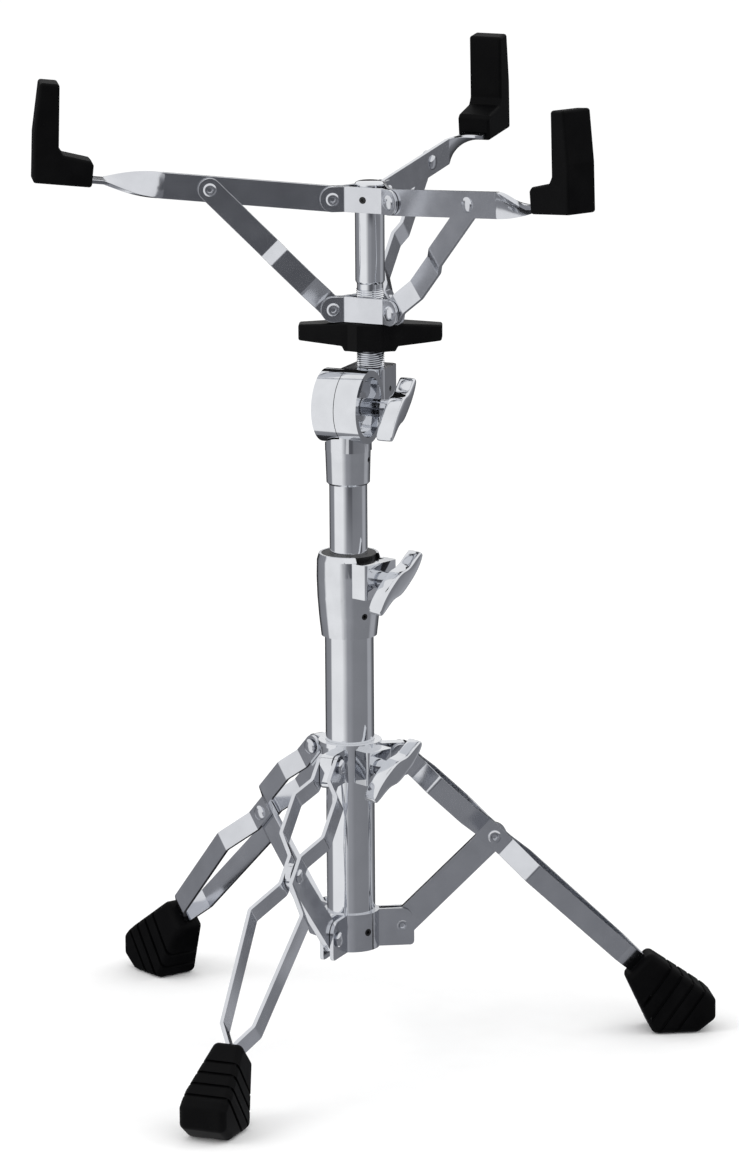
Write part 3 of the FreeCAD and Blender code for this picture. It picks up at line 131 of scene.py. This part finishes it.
STRIP_CHROME = chrome("chrome_plate_on_pressed_steel", "CDCFD4", "D5D7DC", 0.13, 0.18, 14.0, 0.6, 0.03)
TUBE_CHROME = chrome("chrome_plate_on_drawn_tube", "DADCE0", "E0E2E6", 0.03, 0.05, 18.0, 0.5, 0.015)
CAST_CHROME = chrome("chrome_plate_on_die_casting", "D6D8DC", "DEE0E4", 0.05, 0.08, 12.0, 1.5, 0.03)
print("chrome finishes", STRIP_CHROME.name, TUBE_CHROME.name, CAST_CHROME.name)

# %% [markdown]
# The feet and the grips are moulded black rubber: almost no shine, a fine pebble from the mould
# and a little grey bloom where hands and floors rub. The bush is nylon, which is smoother and
# waxier, and the basket nut is a harder black plastic with a light spark-eroded texture. The set
# screws are steel with a black oxide skin, and their near-black also stands in for the painted
# shade deep in the holes they fill.

# %% Black finishes
PATCH_MM, WEAR = 12.0, 0.08


def black(name, dark, worn, rough, grain_mm, relief):
    material, tree, surface, place = finish_named(name)
    patch = add(tree, "ShaderNodeTexNoise",
                {"Vector": place, "Scale": 1 / (PATCH_MM * MM), "Detail": 4.0})
    tint = add(tree, "ShaderNodeValToRGB", {"Fac": patch.outputs["Fac"]}, [(0.35, dark), (0.8, worn)])
    tree.links.new(tint.outputs["Color"], surface.inputs["Base Color"])
    spread = add(tree, "ShaderNodeMapRange",
                 {"Value": patch.outputs["Fac"], "To Min": rough - WEAR, "To Max": rough + WEAR})
    tree.links.new(spread.outputs["Result"], surface.inputs["Roughness"])
    pebble = add(tree, "ShaderNodeTexVoronoi", {"Vector": place, "Scale": 1 / (grain_mm * MM)},
                 feature="SMOOTH_F1")
    bump = add(tree, "ShaderNodeBump",
               {"Height": pebble.outputs["Distance"], "Strength": relief, "Distance": 0.1 * MM})
    tree.links.new(bump.outputs["Normal"], surface.inputs["Normal"])
    return material


RUBBER = black("moulded_black_rubber", "030304", "080809", 0.58, 0.9, 0.30)
NYLON = black("moulded_black_nylon", "0A0A0B", "131314", 0.40, 1.4, 0.12)
# Near-black steel for the set screws: their oxide skin, and also painted shade for the holes they fill.
OXIDE_AND_HOLE_SHADE = black("black_oxide_and_hole_shade", "08080A", "121214", 0.40, 0.5, 0.08)
PLASTIC = black("black_moulded_plastic", "050506", "0B0B0C", 0.42, 0.8, 0.2)
for finish, level in ((RUBBER, 0.07), (NYLON, 0.3), (PLASTIC, 0.1)):
    finish.node_tree.nodes["Principled BSDF"].inputs["Specular IOR Level"].default_value = level
print("black finishes", RUBBER.name, NYLON.name, OXIDE_AND_HOLE_SHADE.name, PLASTIC.name)

# %% [markdown]
# Every solid gets the finish of its slot in the record. The drawn tubes share their slot with the
# pressed strips but are much clearer mirrors, so they are named one by one.

# %% Give every solid its finish
TUBES = ("base_tube", "upper_tube", "basket_shaft")
BY_SLOT = {"chrome_steel": STRIP_CHROME, "chrome_casting": CAST_CHROME, "black_rubber": RUBBER,
           "black_nylon": NYLON, "black_plastic": PLASTIC}


def finish_of(node):
    return TUBE_CHROME if node in TUBES else BY_SLOT[slot_of[node]]


for name, solid in nodes.items():
    solid.data.materials.clear()
    solid.data.materials.append(finish_of(name))
print("finished solids", len(nodes))


# %% [markdown]
# Pressed strip, cast collars and moulded rubber never have knife edges: the press, the polishing
# wheel and the mould each leave a small radius, and on chrome that radius is what catches the
# light. The solids have true sharp corners, so each is copied, its loose triangles are merged
# back into whole faces, and a narrow bevel rounds the arrises. Weighted normals keep the wide faces
# flat beside it. The copy then stands for the solid.

# %% Round the arrises
def alone(piece):
    """Make one object the only selected and active one."""
    bpy.ops.object.select_all(action="DESELECT")
    piece.select_set(True)
    bpy.context.view_layer.objects.active = piece
    return piece


def applied(piece, kind, **settings):
    """Add a modifier with its settings to a piece, and apply it."""
    made = alone(piece).modifiers.new(kind.lower(), kind)
    for name, value in settings.items():
        setattr(made, name, value)
    bpy.ops.object.modifier_apply(modifier=made.name)
    return piece


def joined(piece, *others):
    """Join other pieces into one."""
    alone(piece)
    for other in others:
        other.select_set(True)
    if others:
        bpy.ops.object.join()
    return piece


def stands_for(piece, node):
    """Let a piece take the place of a solid: it joins the solid's body, and the solid is hidden."""
    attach(piece, body_of[node])
    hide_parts(node)
    return piece


def merged_copy(node, name):
    """A copy of a solid with its triangles merged into one closed mesh."""
    piece = nodes[node].copy()
    piece.data = nodes[node].data.copy()
    piece.name = name
    piece.parent = None
    bpy.context.scene.collection.objects.link(piece)
    alone(piece)
    bpy.ops.object.mode_set(mode="EDIT")
    bpy.ops.mesh.select_all(action="SELECT")
    bpy.ops.mesh.remove_doubles(threshold=MERGE)
    bpy.ops.object.mode_set(mode="OBJECT")
    bpy.ops.mesh.customdata_custom_splitnormals_clear()
    return piece


def rounded(node, width, segments):
    """A copy of a solid with its sharp edges bevelled."""
    piece = merged_copy(node, node + ".rounded")
    bpy.ops.object.mode_set(mode="EDIT")
    bpy.ops.mesh.dissolve_limited(angle_limit=FLAT_ANGLE)
    bpy.ops.object.mode_set(mode="OBJECT")
    applied(piece, "BEVEL", width=width, segments=segments, limit_method="ANGLE",
            angle_limit=SHARP_ANGLE, use_clamp_overlap=True)
    bpy.ops.object.shade_smooth_by_angle(angle=SMOOTH_ANGLE)
    applied(piece, "WEIGHTED_NORMAL", keep_sharp=True)
    return stands_for(piece, node)


ARRIS = {  # width and segments of the bevel
    "chrome_steel": (0.35 * MM, 2), "chrome_casting": (0.5 * MM, 3), "black_rubber": (0.6 * MM, 3),
    "black_nylon": (0.3 * MM, 2), "black_plastic": (0.5 * MM, 3)}
MODELLED = ["leg_wing_bolt", "height_wing_bolt", "tilter_wing_nut", "basket_shaft", "tilter_base"]
MODELLED += [name for name in nodes if "rivet" in name]
softened = [rounded(name, *ARRIS[slot_of[name]]) for name in nodes if name not in MODELLED]
print("rounded copies", len(softened), "faces", sum(len(piece.data.polygons) for piece in softened))


# %% [markdown]
# Rivets, screws and the rod are round, as if turned on a lathe. The way to make such a piece by
# hand is to draw half of its profile and spin it. A plane is merged to one point, the point is
# extruded from corner to corner along the profile, and the spin tool sweeps it through a full
# turn about the Z axis. Merging the doubles closes the seam and the two ends on the axis.

# %% A lathe
def profile_line(points):
    """One open chain of edges through (radius, height) points, drawn in edit mode."""
    bpy.ops.object.select_all(action="DESELECT")
    bpy.ops.mesh.primitive_plane_add(size=MM, location=(0, 0, 0))
    bpy.ops.object.mode_set(mode="EDIT")
    bpy.ops.mesh.select_mode(type="VERT")
    bpy.ops.mesh.select_all(action="SELECT")
    bpy.ops.mesh.merge(type="CENTER")
    here = (0.0, 0.0)
    for index, (radius, height) in enumerate(points):
        step = (radius - here[0], 0, height - here[1])
        if index == 0:
            bpy.ops.transform.translate(value=step)
        else:
            bpy.ops.mesh.extrude_vertices_move(TRANSFORM_OT_translate={"value": step})
        here = (radius, height)
    return bpy.context.object


def turned(points, steps=40):
    """A closed round piece about the Z axis from its half profile."""
    piece = profile_line(points)
    bpy.ops.mesh.select_all(action="SELECT")
    bpy.ops.mesh.spin(steps=steps, angle=math.tau, center=(0, 0, 0), axis=(0, 0, 1))
    bpy.ops.mesh.select_all(action="SELECT")
    bpy.ops.mesh.remove_doubles(threshold=0.01 * MM)
    bpy.ops.mesh.normals_make_consistent(inside=False)
    bpy.ops.object.mode_set(mode="OBJECT")
    return piece


def settle(piece, pose, name, finish):
    """Put a piece in its pose, move that into the mesh, and give it name, smoothing and finish."""
    piece.matrix_world = pose
    alone(piece)
    bpy.ops.object.transform_apply(location=True, rotation=True, scale=True)
    bpy.ops.object.shade_smooth_by_angle(angle=SMOOTH_ANGLE)
    piece.name = name
    piece.data.materials.clear()
    piece.data.materials.append(finish)
    return piece


def facing(spot, axis, spin=0.0):
    """The pose with local Z along axis at spot, turned about it by spin from the side nearest up."""
    out = Vector(axis).normalized()
    side = Vector((0, 0, 1)).cross(out)
    side = side.normalized() if side.length > 0.01 else Vector((1, 0, 0))
    basis = Matrix((side, out.cross(side), out)).transposed()
    return Matrix.Translation(spot) @ basis.to_4x4() @ Matrix.Rotation(spin, 4, "Z")


# %% [markdown]
# A stand like this is put together with tubular rivets: a domed factory head on one side, and on
# the other a shank end rolled outwards into a ring with a dimple in the middle. Each is turned to
# the length of its grip. The pivot points and axes come from the joints, the length and the way it
# faces from the solid it replaces. Where an arm and its strut meet, the rivet is parted between the
# strips, so each strip keeps its half: the strut the rolled end, the arm the head. In the base and
# leg collars the photograph shows the rolled ends where the solids have heads, so these turn round.

# %% Rivets
HEAD, RING, DIMPLE, SHANK = 4.5 * MM, 3.9 * MM, 1.7 * MM, 2.7 * MM
NEARBY, HEAD_ZONE, RING_ZONE = 16 * MM, 2.3 * MM, 1.4 * MM
# Each point is a radius and a depth below the end of the rivet.
ROLLED_END = [(0, 3.0 * MM), (DIMPLE * 0.9, 2.8 * MM), (DIMPLE, 0.6 * MM),
              (DIMPLE + 0.4 * MM, 0.1 * MM), (DIMPLE + 0.9 * MM, 0), (RING - 0.5 * MM, 0.2 * MM),
              (RING, 0.7 * MM), (RING - 0.1 * MM, 1.1 * MM), (SHANK, 1.15 * MM)]
DOMED_HEAD = [(SHANK, 2.1 * MM), (HEAD - 0.1 * MM, 2.1 * MM), (HEAD, 1.8 * MM),
              (HEAD * 0.93, 1.2 * MM), (HEAD * 0.75, 0.6 * MM), (HEAD * 0.45, 0.15 * MM), (0, 0)]
CUT_END = [(0, 0), (SHANK, 0)]
TURNED_ROUND = ("base_pivot_rivets", "leg_collar_rivets")


def rivets_at(node, pivots, low_end, high_end):
    """Rivets for one node, one at each (place, axis), read off the solid that they replace."""
    made = []
    for spot, axis in pivots:
        spot, axis = Vector(spot), Vector(axis).normalized()
        near = [v.co - spot for v in nodes[node].data.vertices if (v.co - spot).length < NEARBY]
        along = [offset.dot(axis) for offset in near]
        low, high = min(along), max(along)
        wide = [(offset - axis * offset.dot(axis)).length for offset in near]
        wide_high = max(w for w, a in zip(wide, along) if a > high - HEAD_ZONE)
        wide_low = max(w for w, a in zip(wide, along) if a < low + RING_ZONE)
        profile = low_end + [(radius, high - low - depth) for radius, depth in high_end]
        upward = (wide_high >= wide_low) == (high_end is DOMED_HEAD)
        if node in TURNED_ROUND:
            shift = (DOMED_HEAD[0][1] - ROLLED_END[-1][1]) * (-1 if upward else 1)
            upward, low, high = not upward, low + shift, high + shift
        pose = facing(spot + axis * (low if upward else high), axis if upward else -axis)
        made.append(settle(turned(profile, 32), pose, node + ".turned", STRIP_CHROME))
    return stands_for(joined(*made), node)


def pivots_of(*names):
    return [(joints[name]["pos_m"], joints[name]["axis"]) for name in names]


def third_turns(spot, axis, centre):
    """A pivot and its two copies a third of a turn apart about the vertical axis at centre."""
    turns = [Matrix.Rotation(math.tau * share / 3, 4, "Z") for share in range(3)]
    return [(centre + turn @ (Vector(spot) - centre), turn @ Vector(axis)) for turn in turns]


tube_axis = Vector((joints["tilt"]["pos_m"][0], joints["tilt"]["pos_m"][1], 0))
WHOLE = {"base_pivot_rivets": pivots_of("leg_fold", "brace_right_fold", "brace_left_fold"),
         "leg_collar_rivets": third_turns(*pivots_of("collar_level")[0], tube_axis),
         "upper_hub_rivets": pivots_of("basket_fold", "arm_left_fold", "arm_right_fold"),
         "lower_hub_rivets": pivots_of("strut_rear_swing", "strut_left_swing", "strut_right_swing")}
WHOLE.update({f"leg_{leg}_rivet": pivots_of(f"leg_{leg}_swing") for leg in ("front", "right", "left")})
for node, pivots in WHOLE.items():
    rivets_at(node, pivots, ROLLED_END, DOMED_HEAD)
HALVES = {}
for arm in ("rear", "left", "right"):
    axis = joints[f"strut_{arm}_swing"]["axis"]
    HALVES[f"strut_rivet_{arm}"] = (axis, ROLLED_END, CUT_END[::-1])
    HALVES[f"arm_rivet_{arm}"] = (axis, CUT_END, DOMED_HEAD)
for node, (axis, low_end, high_end) in HALVES.items():
    points = [vertex.co for vertex in nodes[node].data.vertices]
    rivets_at(node, [(sum(points, Vector()) / len(points), axis)], low_end, high_end)
print("rivets turned for", len(WHOLE) + len(HALVES), "nodes")


# %% [markdown]
# The wing screws have handles shaped like a letter S, cast and polished soft. A block becomes the
# hub, and each end face is extruded four times into a lobe that leans to one side: down on the
# right, up on the left, so half a turn leaves it looking the same. A bevel holds the hub's shape,
# and a subdivision surface melts the rest. The screw itself is turned.

# %% Wing screws
WING_HALF, WING_CREST, WING_DEPTH = 23.8 * MM, 5.8 * MM, 10.5 * MM
HUB_SHARE, HELD_EDGE, HELD_ANGLE = 0.36, 1.5 * MM, math.radians(50)
# Each step of a lobe is a share of the reach, then a middle and a half width as shares of the crest.
LOBES = [(0.36, -0.25, 0.75), (0.52, -0.285, 0.645), (0.74, -0.21, 0.57), (1.0, 0.0, 0.32)]


def wing_handle():
    """The S-shaped handle about the Z axis, its inner face at height zero."""
    bpy.ops.object.select_all(action="DESELECT")
    bpy.ops.mesh.primitive_cube_add(size=1.0, location=(0, 0, WING_DEPTH / 2))
    handle = bpy.context.object
    handle.scale = (WING_HALF * HUB_SHARE, WING_CREST * 2, WING_DEPTH)
    bpy.ops.object.transform_apply(location=True, rotation=False, scale=True)
    bpy.ops.object.mode_set(mode="EDIT")
    bpy.ops.mesh.select_mode(type="FACE")
    for side in (1, -1):
        bpy.ops.mesh.select_all(action="DESELECT")
        mesh = bmesh.from_edit_mesh(handle.data)
        for face in mesh.faces:
            face.select_set(face.normal.x * side > 0.9)
        bmesh.update_edit_mesh(handle.data)
        reach, middle, half = HUB_SHARE / 2, 0.0, 1.0
        for next_reach, next_middle, next_half in LOBES:
            step = (side * (next_reach - reach) * WING_HALF,
                    side * (next_middle - middle) * WING_CREST, 0)
            bpy.ops.mesh.extrude_region_move(TRANSFORM_OT_translate={"value": step})
            bpy.ops.transform.resize(value=(1, next_half / half, 1),
                                     center_override=(0, side * next_middle * WING_CREST, 0))
            reach, middle, half = next_reach, next_middle, next_half
    bpy.ops.object.mode_set(mode="OBJECT")
    applied(handle, "BEVEL", width=HELD_EDGE, segments=2, limit_method="ANGLE",
            angle_limit=HELD_ANGLE)
    return applied(handle, "SUBSURF", levels=2, render_levels=2)


def cut_away(piece, cutter):
    """Take the shape of a cutter out of a piece, and put the cutter away."""
    applied(piece, "BOOLEAN", object=cutter, solver="EXACT")
    bpy.data.objects.remove(cutter)
    return piece


def bored(piece, radius, depth, sides=32):
    """Drill a hole along the Z axis, to the given depth on both sides of height zero."""
    bpy.ops.object.select_all(action="DESELECT")
    bpy.ops.mesh.primitive_cylinder_add(vertices=sides, radius=radius, depth=depth * 2,
                                        location=(0, 0, 0))
    return cut_away(piece, bpy.context.object)


def wing_screw(node, joint, angle, collar, bore=0.0):
    """Handle and screw along a joint's axis, from the depth to the reach of the solid."""
    spot, axis = Vector(joints[joint]["pos_m"]), Vector(joints[joint]["axis"])
    along = [(v.co - spot).dot(axis) for v in nodes[node].data.vertices]
    tip, start = min(along), max(along) - WING_DEPTH
    shank, rim, root = 4.0 * MM, 5.2 * MM, start + 1.0 * MM
    flare = [(rim, start - 1.2 * MM), (rim + 0.5 * MM, root)]
    if bore:
        stem = turned([(bore, tip), (rim - 0.4 * MM, tip), (rim, tip + 0.4 * MM), *flare,
                       (bore, root), (bore, tip)])
        handle = bored(wing_handle(), bore, WING_DEPTH / 2 + 0.1 * MM)
    else:
        stem = turned([(0, tip), (shank - 0.8 * MM, tip), (shank, tip + 0.8 * MM), (shank, collar),
                       (rim - 0.3 * MM, collar), (rim, collar + 0.4 * MM), *flare, (0, root)])
        handle = wing_handle()
    pose = facing(spot, axis, angle)
    stem = settle(stem, pose, node + ".stem", CAST_CHROME)
    piece = settle(handle, pose @ Matrix.Translation((0, 0, start)), node + ".handle", CAST_CHROME)
    joined(piece, stem)
    print(node, "tip", round(tip / MM, 1), "start", round(start / MM, 1))
    return stands_for(piece, node)


wing_screw("leg_wing_bolt", "leg_screw_turn", math.radians(39.4), 6.4 * MM)
wing_screw("height_wing_bolt", "height_screw_turn", math.radians(41.3), 5.9 * MM)
wing_screw("tilter_wing_nut", "tilter_screw_turn", math.radians(39.0), 0.0, 4.05 * MM)


# %% [markdown]
# The fixed disc of the tilter stands on a short neck over its sleeve. The casting has that neck
# turned round with the sleeve, so a ring-shaped cutter takes the corners off the copied solid. The
# cutter itself is hollowed first by a drum a hair larger than the disc, so that it stops under it.

# %% Neck of the tilter
NECK, OUTSIDE, DISC = 13.9 * MM, 30 * MM, 21.45 * MM
CUT_LOW, CUT_HIGH = 29 * MM, 10 * MM
tilt_spot = Vector(joints["tilt"]["pos_m"])
below, above = tilt_spot.z - CUT_LOW, tilt_spot.z - CUT_HIGH
ring = turned([(NECK, below), (OUTSIDE, below), (OUTSIDE, above), (NECK, above), (NECK, below)], 96)
ring = settle(ring, Matrix.Translation(tube_axis), "neck_cutter", CAST_CHROME)
bpy.ops.object.select_all(action="DESELECT")
bpy.ops.mesh.primitive_cylinder_add(vertices=192, radius=DISC, depth=OUTSIDE * 3,
                                    location=tilt_spot, rotation=(0, math.radians(90), 0))
cut_away(ring, bpy.context.object)
tilter = cut_away(merged_copy("tilter_base", "tilter_base.turned"), ring)
bpy.ops.object.shade_smooth_by_angle(angle=SMOOTH_ANGLE)
stands_for(tilter, "tilter_base")
print("tilter neck faces", len(tilter.data.polygons))


# %% [markdown]
# Five holes hold small blackened set screws: in the base collar, the height collar, the sleeve and
# the holder of the tilter, and the front plate of the upper hub. Each is a short cylinder with a
# six-sided socket for the key, and it stands just below the mouth of its hole. Their near-black
# fills the mouth of each hole, so it also paints the shade deep inside it.

# %% Set screws, near-black as painted hole shade
SCREW_HOLES = {  # mouth in mm, direction inwards, radius and depth in mm
    "base_collar": ((14.38, -15.23, 70.31), (-0.866, 0.5, 0), 2.1, 2.0),
    "height_collar": ((14.47, -17.44, 261.56), (-0.809, 0.588, 0), 1.8, 3.0),
    "tilter_base": ((13.17, -6.93, 353.06), (-1, 0, 0), 1.5, 1.7),
    "tilter_head": ((12.5, 27.57, 389.06), (-1, 0, 0), 1.5, 3.0),
    "upper_plate_front": ((0, 17.07, 501.06), (0, 1, 0), 1.9, 1.4),
}
SUNK_MM, SOCKET_WIDE, SOCKET_DEEP = 0.3, 0.55, 0.6
# Each screw plugs its hole in near-black, which paints the shade inside the hole.
for node, (mouth, inward, radius, depth) in SCREW_HOLES.items():
    bpy.ops.object.select_all(action="DESELECT")
    bpy.ops.mesh.primitive_cylinder_add(vertices=32, radius=radius * MM, depth=depth * MM,
                                        location=(0, 0, -depth / 2 * MM))
    screw = bpy.context.object
    bpy.ops.object.transform_apply(location=True, rotation=False, scale=False)
    bored(screw, radius * SOCKET_WIDE * MM, depth * SOCKET_DEEP * MM, 6)
    pose = facing((Vector(mouth) + Vector(inward) * SUNK_MM) * MM, -Vector(inward))
    settle(screw, pose, node + ".set_screw_hole_shade", OXIDE_AND_HOLE_SHADE)
    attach(screw, body_of[node])
print("set screws", len(SCREW_HOLES))


# %% [markdown]
# The basket hangs on a rod that is threaded below, where the nut runs, and smooth above, where the
# hubs are held. A real thread is one V-shaped groove that climbs as it turns, so its profile, two
# short edges one pitch tall, is given to the screw modifier, which turns and lifts it at the same
# time. The open ends are drawn in to the axis to close the piece.

# %% Threaded rod
PITCH, CREST, ROOT = 1.25 * MM, 8.2 * MM, 7.6 * MM
SLEEVE_RISE, RELIEF_LONG, THREAD_STEPS = 16.5 * MM, 4.5 * MM, 32
rod_axis = Vector((joints["nut_turn"]["pos_m"][0], joints["nut_turn"]["pos_m"][1], 0))
rod_low, rod_high = (corner.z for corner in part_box("basket_shaft"))
sleeve_start = joints["strut_rear_swing"]["pos_m"][2] + SLEEVE_RISE
thread_top = sleeve_start - RELIEF_LONG
turns = int((thread_top - rod_low) / PITCH)
groove_start = thread_top - turns * PITCH

thread = profile_line([(CREST, groove_start), (ROOT, groove_start + PITCH * 0.5),
                       (CREST, groove_start + PITCH)])
bpy.ops.object.mode_set(mode="OBJECT")
applied(thread, "SCREW", screw_offset=PITCH, iterations=turns - 1, steps=THREAD_STEPS,
        render_steps=THREAD_STEPS, use_merge_vertices=True, merge_threshold=MERGE)
bpy.ops.object.mode_set(mode="EDIT")
bpy.ops.mesh.select_mode(type="EDGE")
bpy.ops.mesh.select_all(action="SELECT")
bpy.ops.mesh.remove_doubles(threshold=MERGE)
bpy.ops.mesh.select_all(action="DESELECT")
bpy.ops.mesh.select_non_manifold(extend=False, use_wire=False, use_multi_face=False,
                                 use_non_contiguous=False, use_verts=False)
bpy.ops.mesh.extrude_region_move(TRANSFORM_OT_translate={"value": (0, 0, 0)})
bpy.ops.transform.resize(value=(0, 0, 1), center_override=(0, 0, 0))
bpy.ops.mesh.select_all(action="SELECT")
bpy.ops.mesh.remove_doubles(threshold=MERGE)
bpy.ops.mesh.normals_make_consistent(inside=False)
bpy.ops.object.mode_set(mode="OBJECT")

SLEEVE, RELIEF = 8.65 * MM, 7.75 * MM
sleeve = turned([(0, thread_top - 1.0 * MM), (RELIEF, thread_top - 1.0 * MM),
                 (RELIEF, sleeve_start - 1.6 * MM), (SLEEVE - 0.3 * MM, sleeve_start - 0.7 * MM),
                 (SLEEVE, sleeve_start), (SLEEVE, rod_high - 1.6 * MM),
                 (SLEEVE * 0.94, rod_high - 0.8 * MM), (SLEEVE * 0.8, rod_high - 0.25 * MM),
                 (SLEEVE * 0.6, rod_high), (0, rod_high)], 64)
sleeve = settle(sleeve, Matrix.Translation(rod_axis), "basket_rod.sleeve", TUBE_CHROME)
rod = settle(thread, Matrix.Translation(rod_axis), "basket_rod", TUBE_CHROME)
stands_for(joined(rod, sleeve), "basket_shaft")
print("thread turns", turns, "faces", len(rod.data.polygons))


# %% [markdown]
# The floor is a large plain sheet that keeps a soft shadow. The world is an even white, as in a
# light tent, so a colour renders about as it is written, and two soft lamps give the black rubber
# its shape.

# %% Floor, world and lamps
FLOOR_SIZE, FLOOR_DROP = 60.0, 0.3 * MM
LAMP_TARGET = Vector((0, 0, 0.3))
LAMPS = {  # place, size and power
    "key": ((-2.2, -2.4, 3.0), 2.0, 30.0),
    "fill": ((2.4, 1.6, 2.6), 1.6, 12.0),
}
bpy.ops.object.select_all(action="DESELECT")
bpy.ops.mesh.primitive_plane_add(size=FLOOR_SIZE, location=(0, 0, -FLOOR_DROP))
floor = bpy.context.object
floor.name = "floor"
floor_finish, tree, surface, place = finish_named("white_paper_floor")
grain = add(tree, "ShaderNodeTexNoise", {"Vector": place, "Scale": 1 / (25.0 * MM)})
tint = add(tree, "ShaderNodeValToRGB", {"Fac": grain.outputs["Fac"]},
           [(0.3, "FDFDFD"), (0.7, "FFFFFF")])
tree.links.new(tint.outputs["Color"], surface.inputs["Base Color"])
surface.inputs["Roughness"].default_value = 1.0
surface.inputs["Specular IOR Level"].default_value = 0.0
floor.data.materials.append(floor_finish)

world = bpy.data.worlds.new("studio")
bpy.context.scene.world = world
world.use_nodes = True
tent = world.node_tree.nodes["Background"]
tent.inputs["Color"].default_value = shade("FFFFFF")
tent.inputs["Strength"].default_value = 1.0

for name, (spot, size, power) in LAMPS.items():
    bpy.ops.object.light_add(type="AREA", location=spot)
    lamp = bpy.context.object
    lamp.name = name
    lamp.data.size = size
    lamp.data.energy = power
    lamp.visible_glossy = False
    lamp.rotation_euler = (LAMP_TARGET - Vector(spot)).to_track_quat("-Z", "Y").to_euler()
print("floor, world and two lamps")

# %% [markdown]
# Chrome shows nothing but its surroundings, so a photographer of metal builds those: one large
# white softbox to the left, grey flags all round, and dark ones behind and beside the camera.
# Here the flags are one shallow bowl around the stand, a ring on the floor with a low wall. It glows
# with fixed greys and is only met by mirror rays: painted reflections on the chrome that light
# nothing. So the picture keeps its white ground and the lamps keep their reach.
# Its greys change with the heading, counted from the camera to the right. A mirror high on the
# stand looks farther out than one near the floor, and out there a dark gap stands beside the camera.

# %% Glowing flags for painted reflections on the chrome
CAMERA_HEADING = math.radians(-66.8)
RING_RADIUS, RING_GROWTH, RING_LIFT, WALL_HEIGHT = 0.03, 230, 0.4 * MM, 1.75
FAR_START, FAR_FULL = 1.35, 1.65
LEFT = [(-180, "2A2A2C"), (-152, "303032"), (-134, "8A8B8F"), (-98, "96979B"), (-91, "FFFFFF"),
        (-34, "FFFFFF")]
NEAR = [(-9, "A2A3A7"), (4, "9C9DA1"), (19, "8C8D91")]
FAR = [(-9, "8A8B8F"), (-4, "78797D"), (2, "626367"), (20, "5C5D61"), (27, "7E7F83")]
RIGHT = [(88, "88898D"), (98, "AEAFB3"), (118, "AEAFB3"), (130, "7C7D81"), (154, "48494C"),
         (180, "2A2A2C")]
bpy.ops.object.select_all(action="DESELECT")
bpy.ops.mesh.primitive_circle_add(vertices=96, radius=RING_RADIUS, location=(0, tube_axis.y, RING_LIFT))
flags = bpy.context.object
flags.name = "reflection_only_glowing_flags"
bpy.ops.object.mode_set(mode="EDIT")
bpy.ops.mesh.select_all(action="SELECT")
bpy.ops.mesh.extrude_region_move(TRANSFORM_OT_translate={"value": (0, 0, 0)})
bpy.ops.transform.resize(value=(RING_GROWTH, RING_GROWTH, 1), center_override=(0, tube_axis.y, 0))
bpy.ops.mesh.extrude_region_move(TRANSFORM_OT_translate={"value": (0, 0, WALL_HEIGHT)})
bpy.ops.object.mode_set(mode="OBJECT")
for ray in ("camera", "diffuse", "transmission", "volume_scatter", "shadow"):
    setattr(flags, "visible_" + ray, False)

reflection_glow_finish, tree, surface, place = finish_named("glowing_flag_reflections")
turn = add(tree, "ShaderNodeMapping", {"Vector": place, "Rotation": (0, 0, -CAMERA_HEADING)})
heading = add(tree, "ShaderNodeTexGradient", {"Vector": turn.outputs["Vector"]}, gradient_type="RADIAL")
reach = add(tree, "ShaderNodeVectorMath", {0: place}, operation="LENGTH")
outward = add(tree, "ShaderNodeMapRange",
              {"Value": reach.outputs["Value"], "From Min": FAR_START, "From Max": FAR_FULL})
glows = []
for middle in (NEAR, FAR):
    stops = [((angle + 180) / 360, code) for angle, code in LEFT + middle + RIGHT]
    greys = add(tree, "ShaderNodeValToRGB", {"Fac": heading.outputs["Fac"]}, stops)
    # The flags glow with these greys: painted reflections, seen only in mirrors.
    glows.append(add(tree, "ShaderNodeEmission", {"Color": greys.outputs["Color"]}).outputs["Emission"])
card = add(tree, "ShaderNodeMixShader", {0: outward.outputs["Result"], 1: glows[0], 2: glows[1]})
tree.links.new(card.outputs["Shader"], tree.nodes["Material Output"].inputs["Surface"])
flags.data.materials.append(reflection_glow_finish)
print("grey flags", len(LEFT + NEAR + RIGHT), "and", len(LEFT + FAR + RIGHT), "stops")

# %% [markdown]
# The photograph was taken from a good distance with a long lens, a little above the basket and
# to the right of the front leg. The camera is set by its place, its heading and its roll.

# %% Camera
IMAGE_HEIGHT_PX = 1157
FOCAL_PX = 6223.0
SENSOR_MM = 36.0
CAMERA_PLACE = Vector((1.399, -3.271927, 1.066055))
heading_angle = math.radians(23.0)
pitch = math.radians(12.46)
roll = math.radians(-0.36)
forward = Vector((-math.sin(heading_angle) * math.cos(pitch),
                  math.cos(heading_angle) * math.cos(pitch), -math.sin(pitch)))
level = Vector((math.cos(heading_angle), math.sin(heading_angle), 0))
upright = level.cross(forward)
across = level * math.cos(roll) + upright * math.sin(roll)
upward = upright * math.cos(roll) - level * math.sin(roll)
bpy.ops.object.camera_add(location=CAMERA_PLACE)
camera = bpy.context.object
basis = Matrix((across, upward, -forward)).transposed()
camera.matrix_world = Matrix.Translation(CAMERA_PLACE) @ basis.to_4x4()
camera.data.sensor_width = SENSOR_MM
camera.data.lens = FOCAL_PX * SENSOR_MM / IMAGE_HEIGHT_PX
bpy.context.scene.camera = camera
bpy.context.scene.view_settings.view_transform = "Standard"
print("lens", round(camera.data.lens, 1))
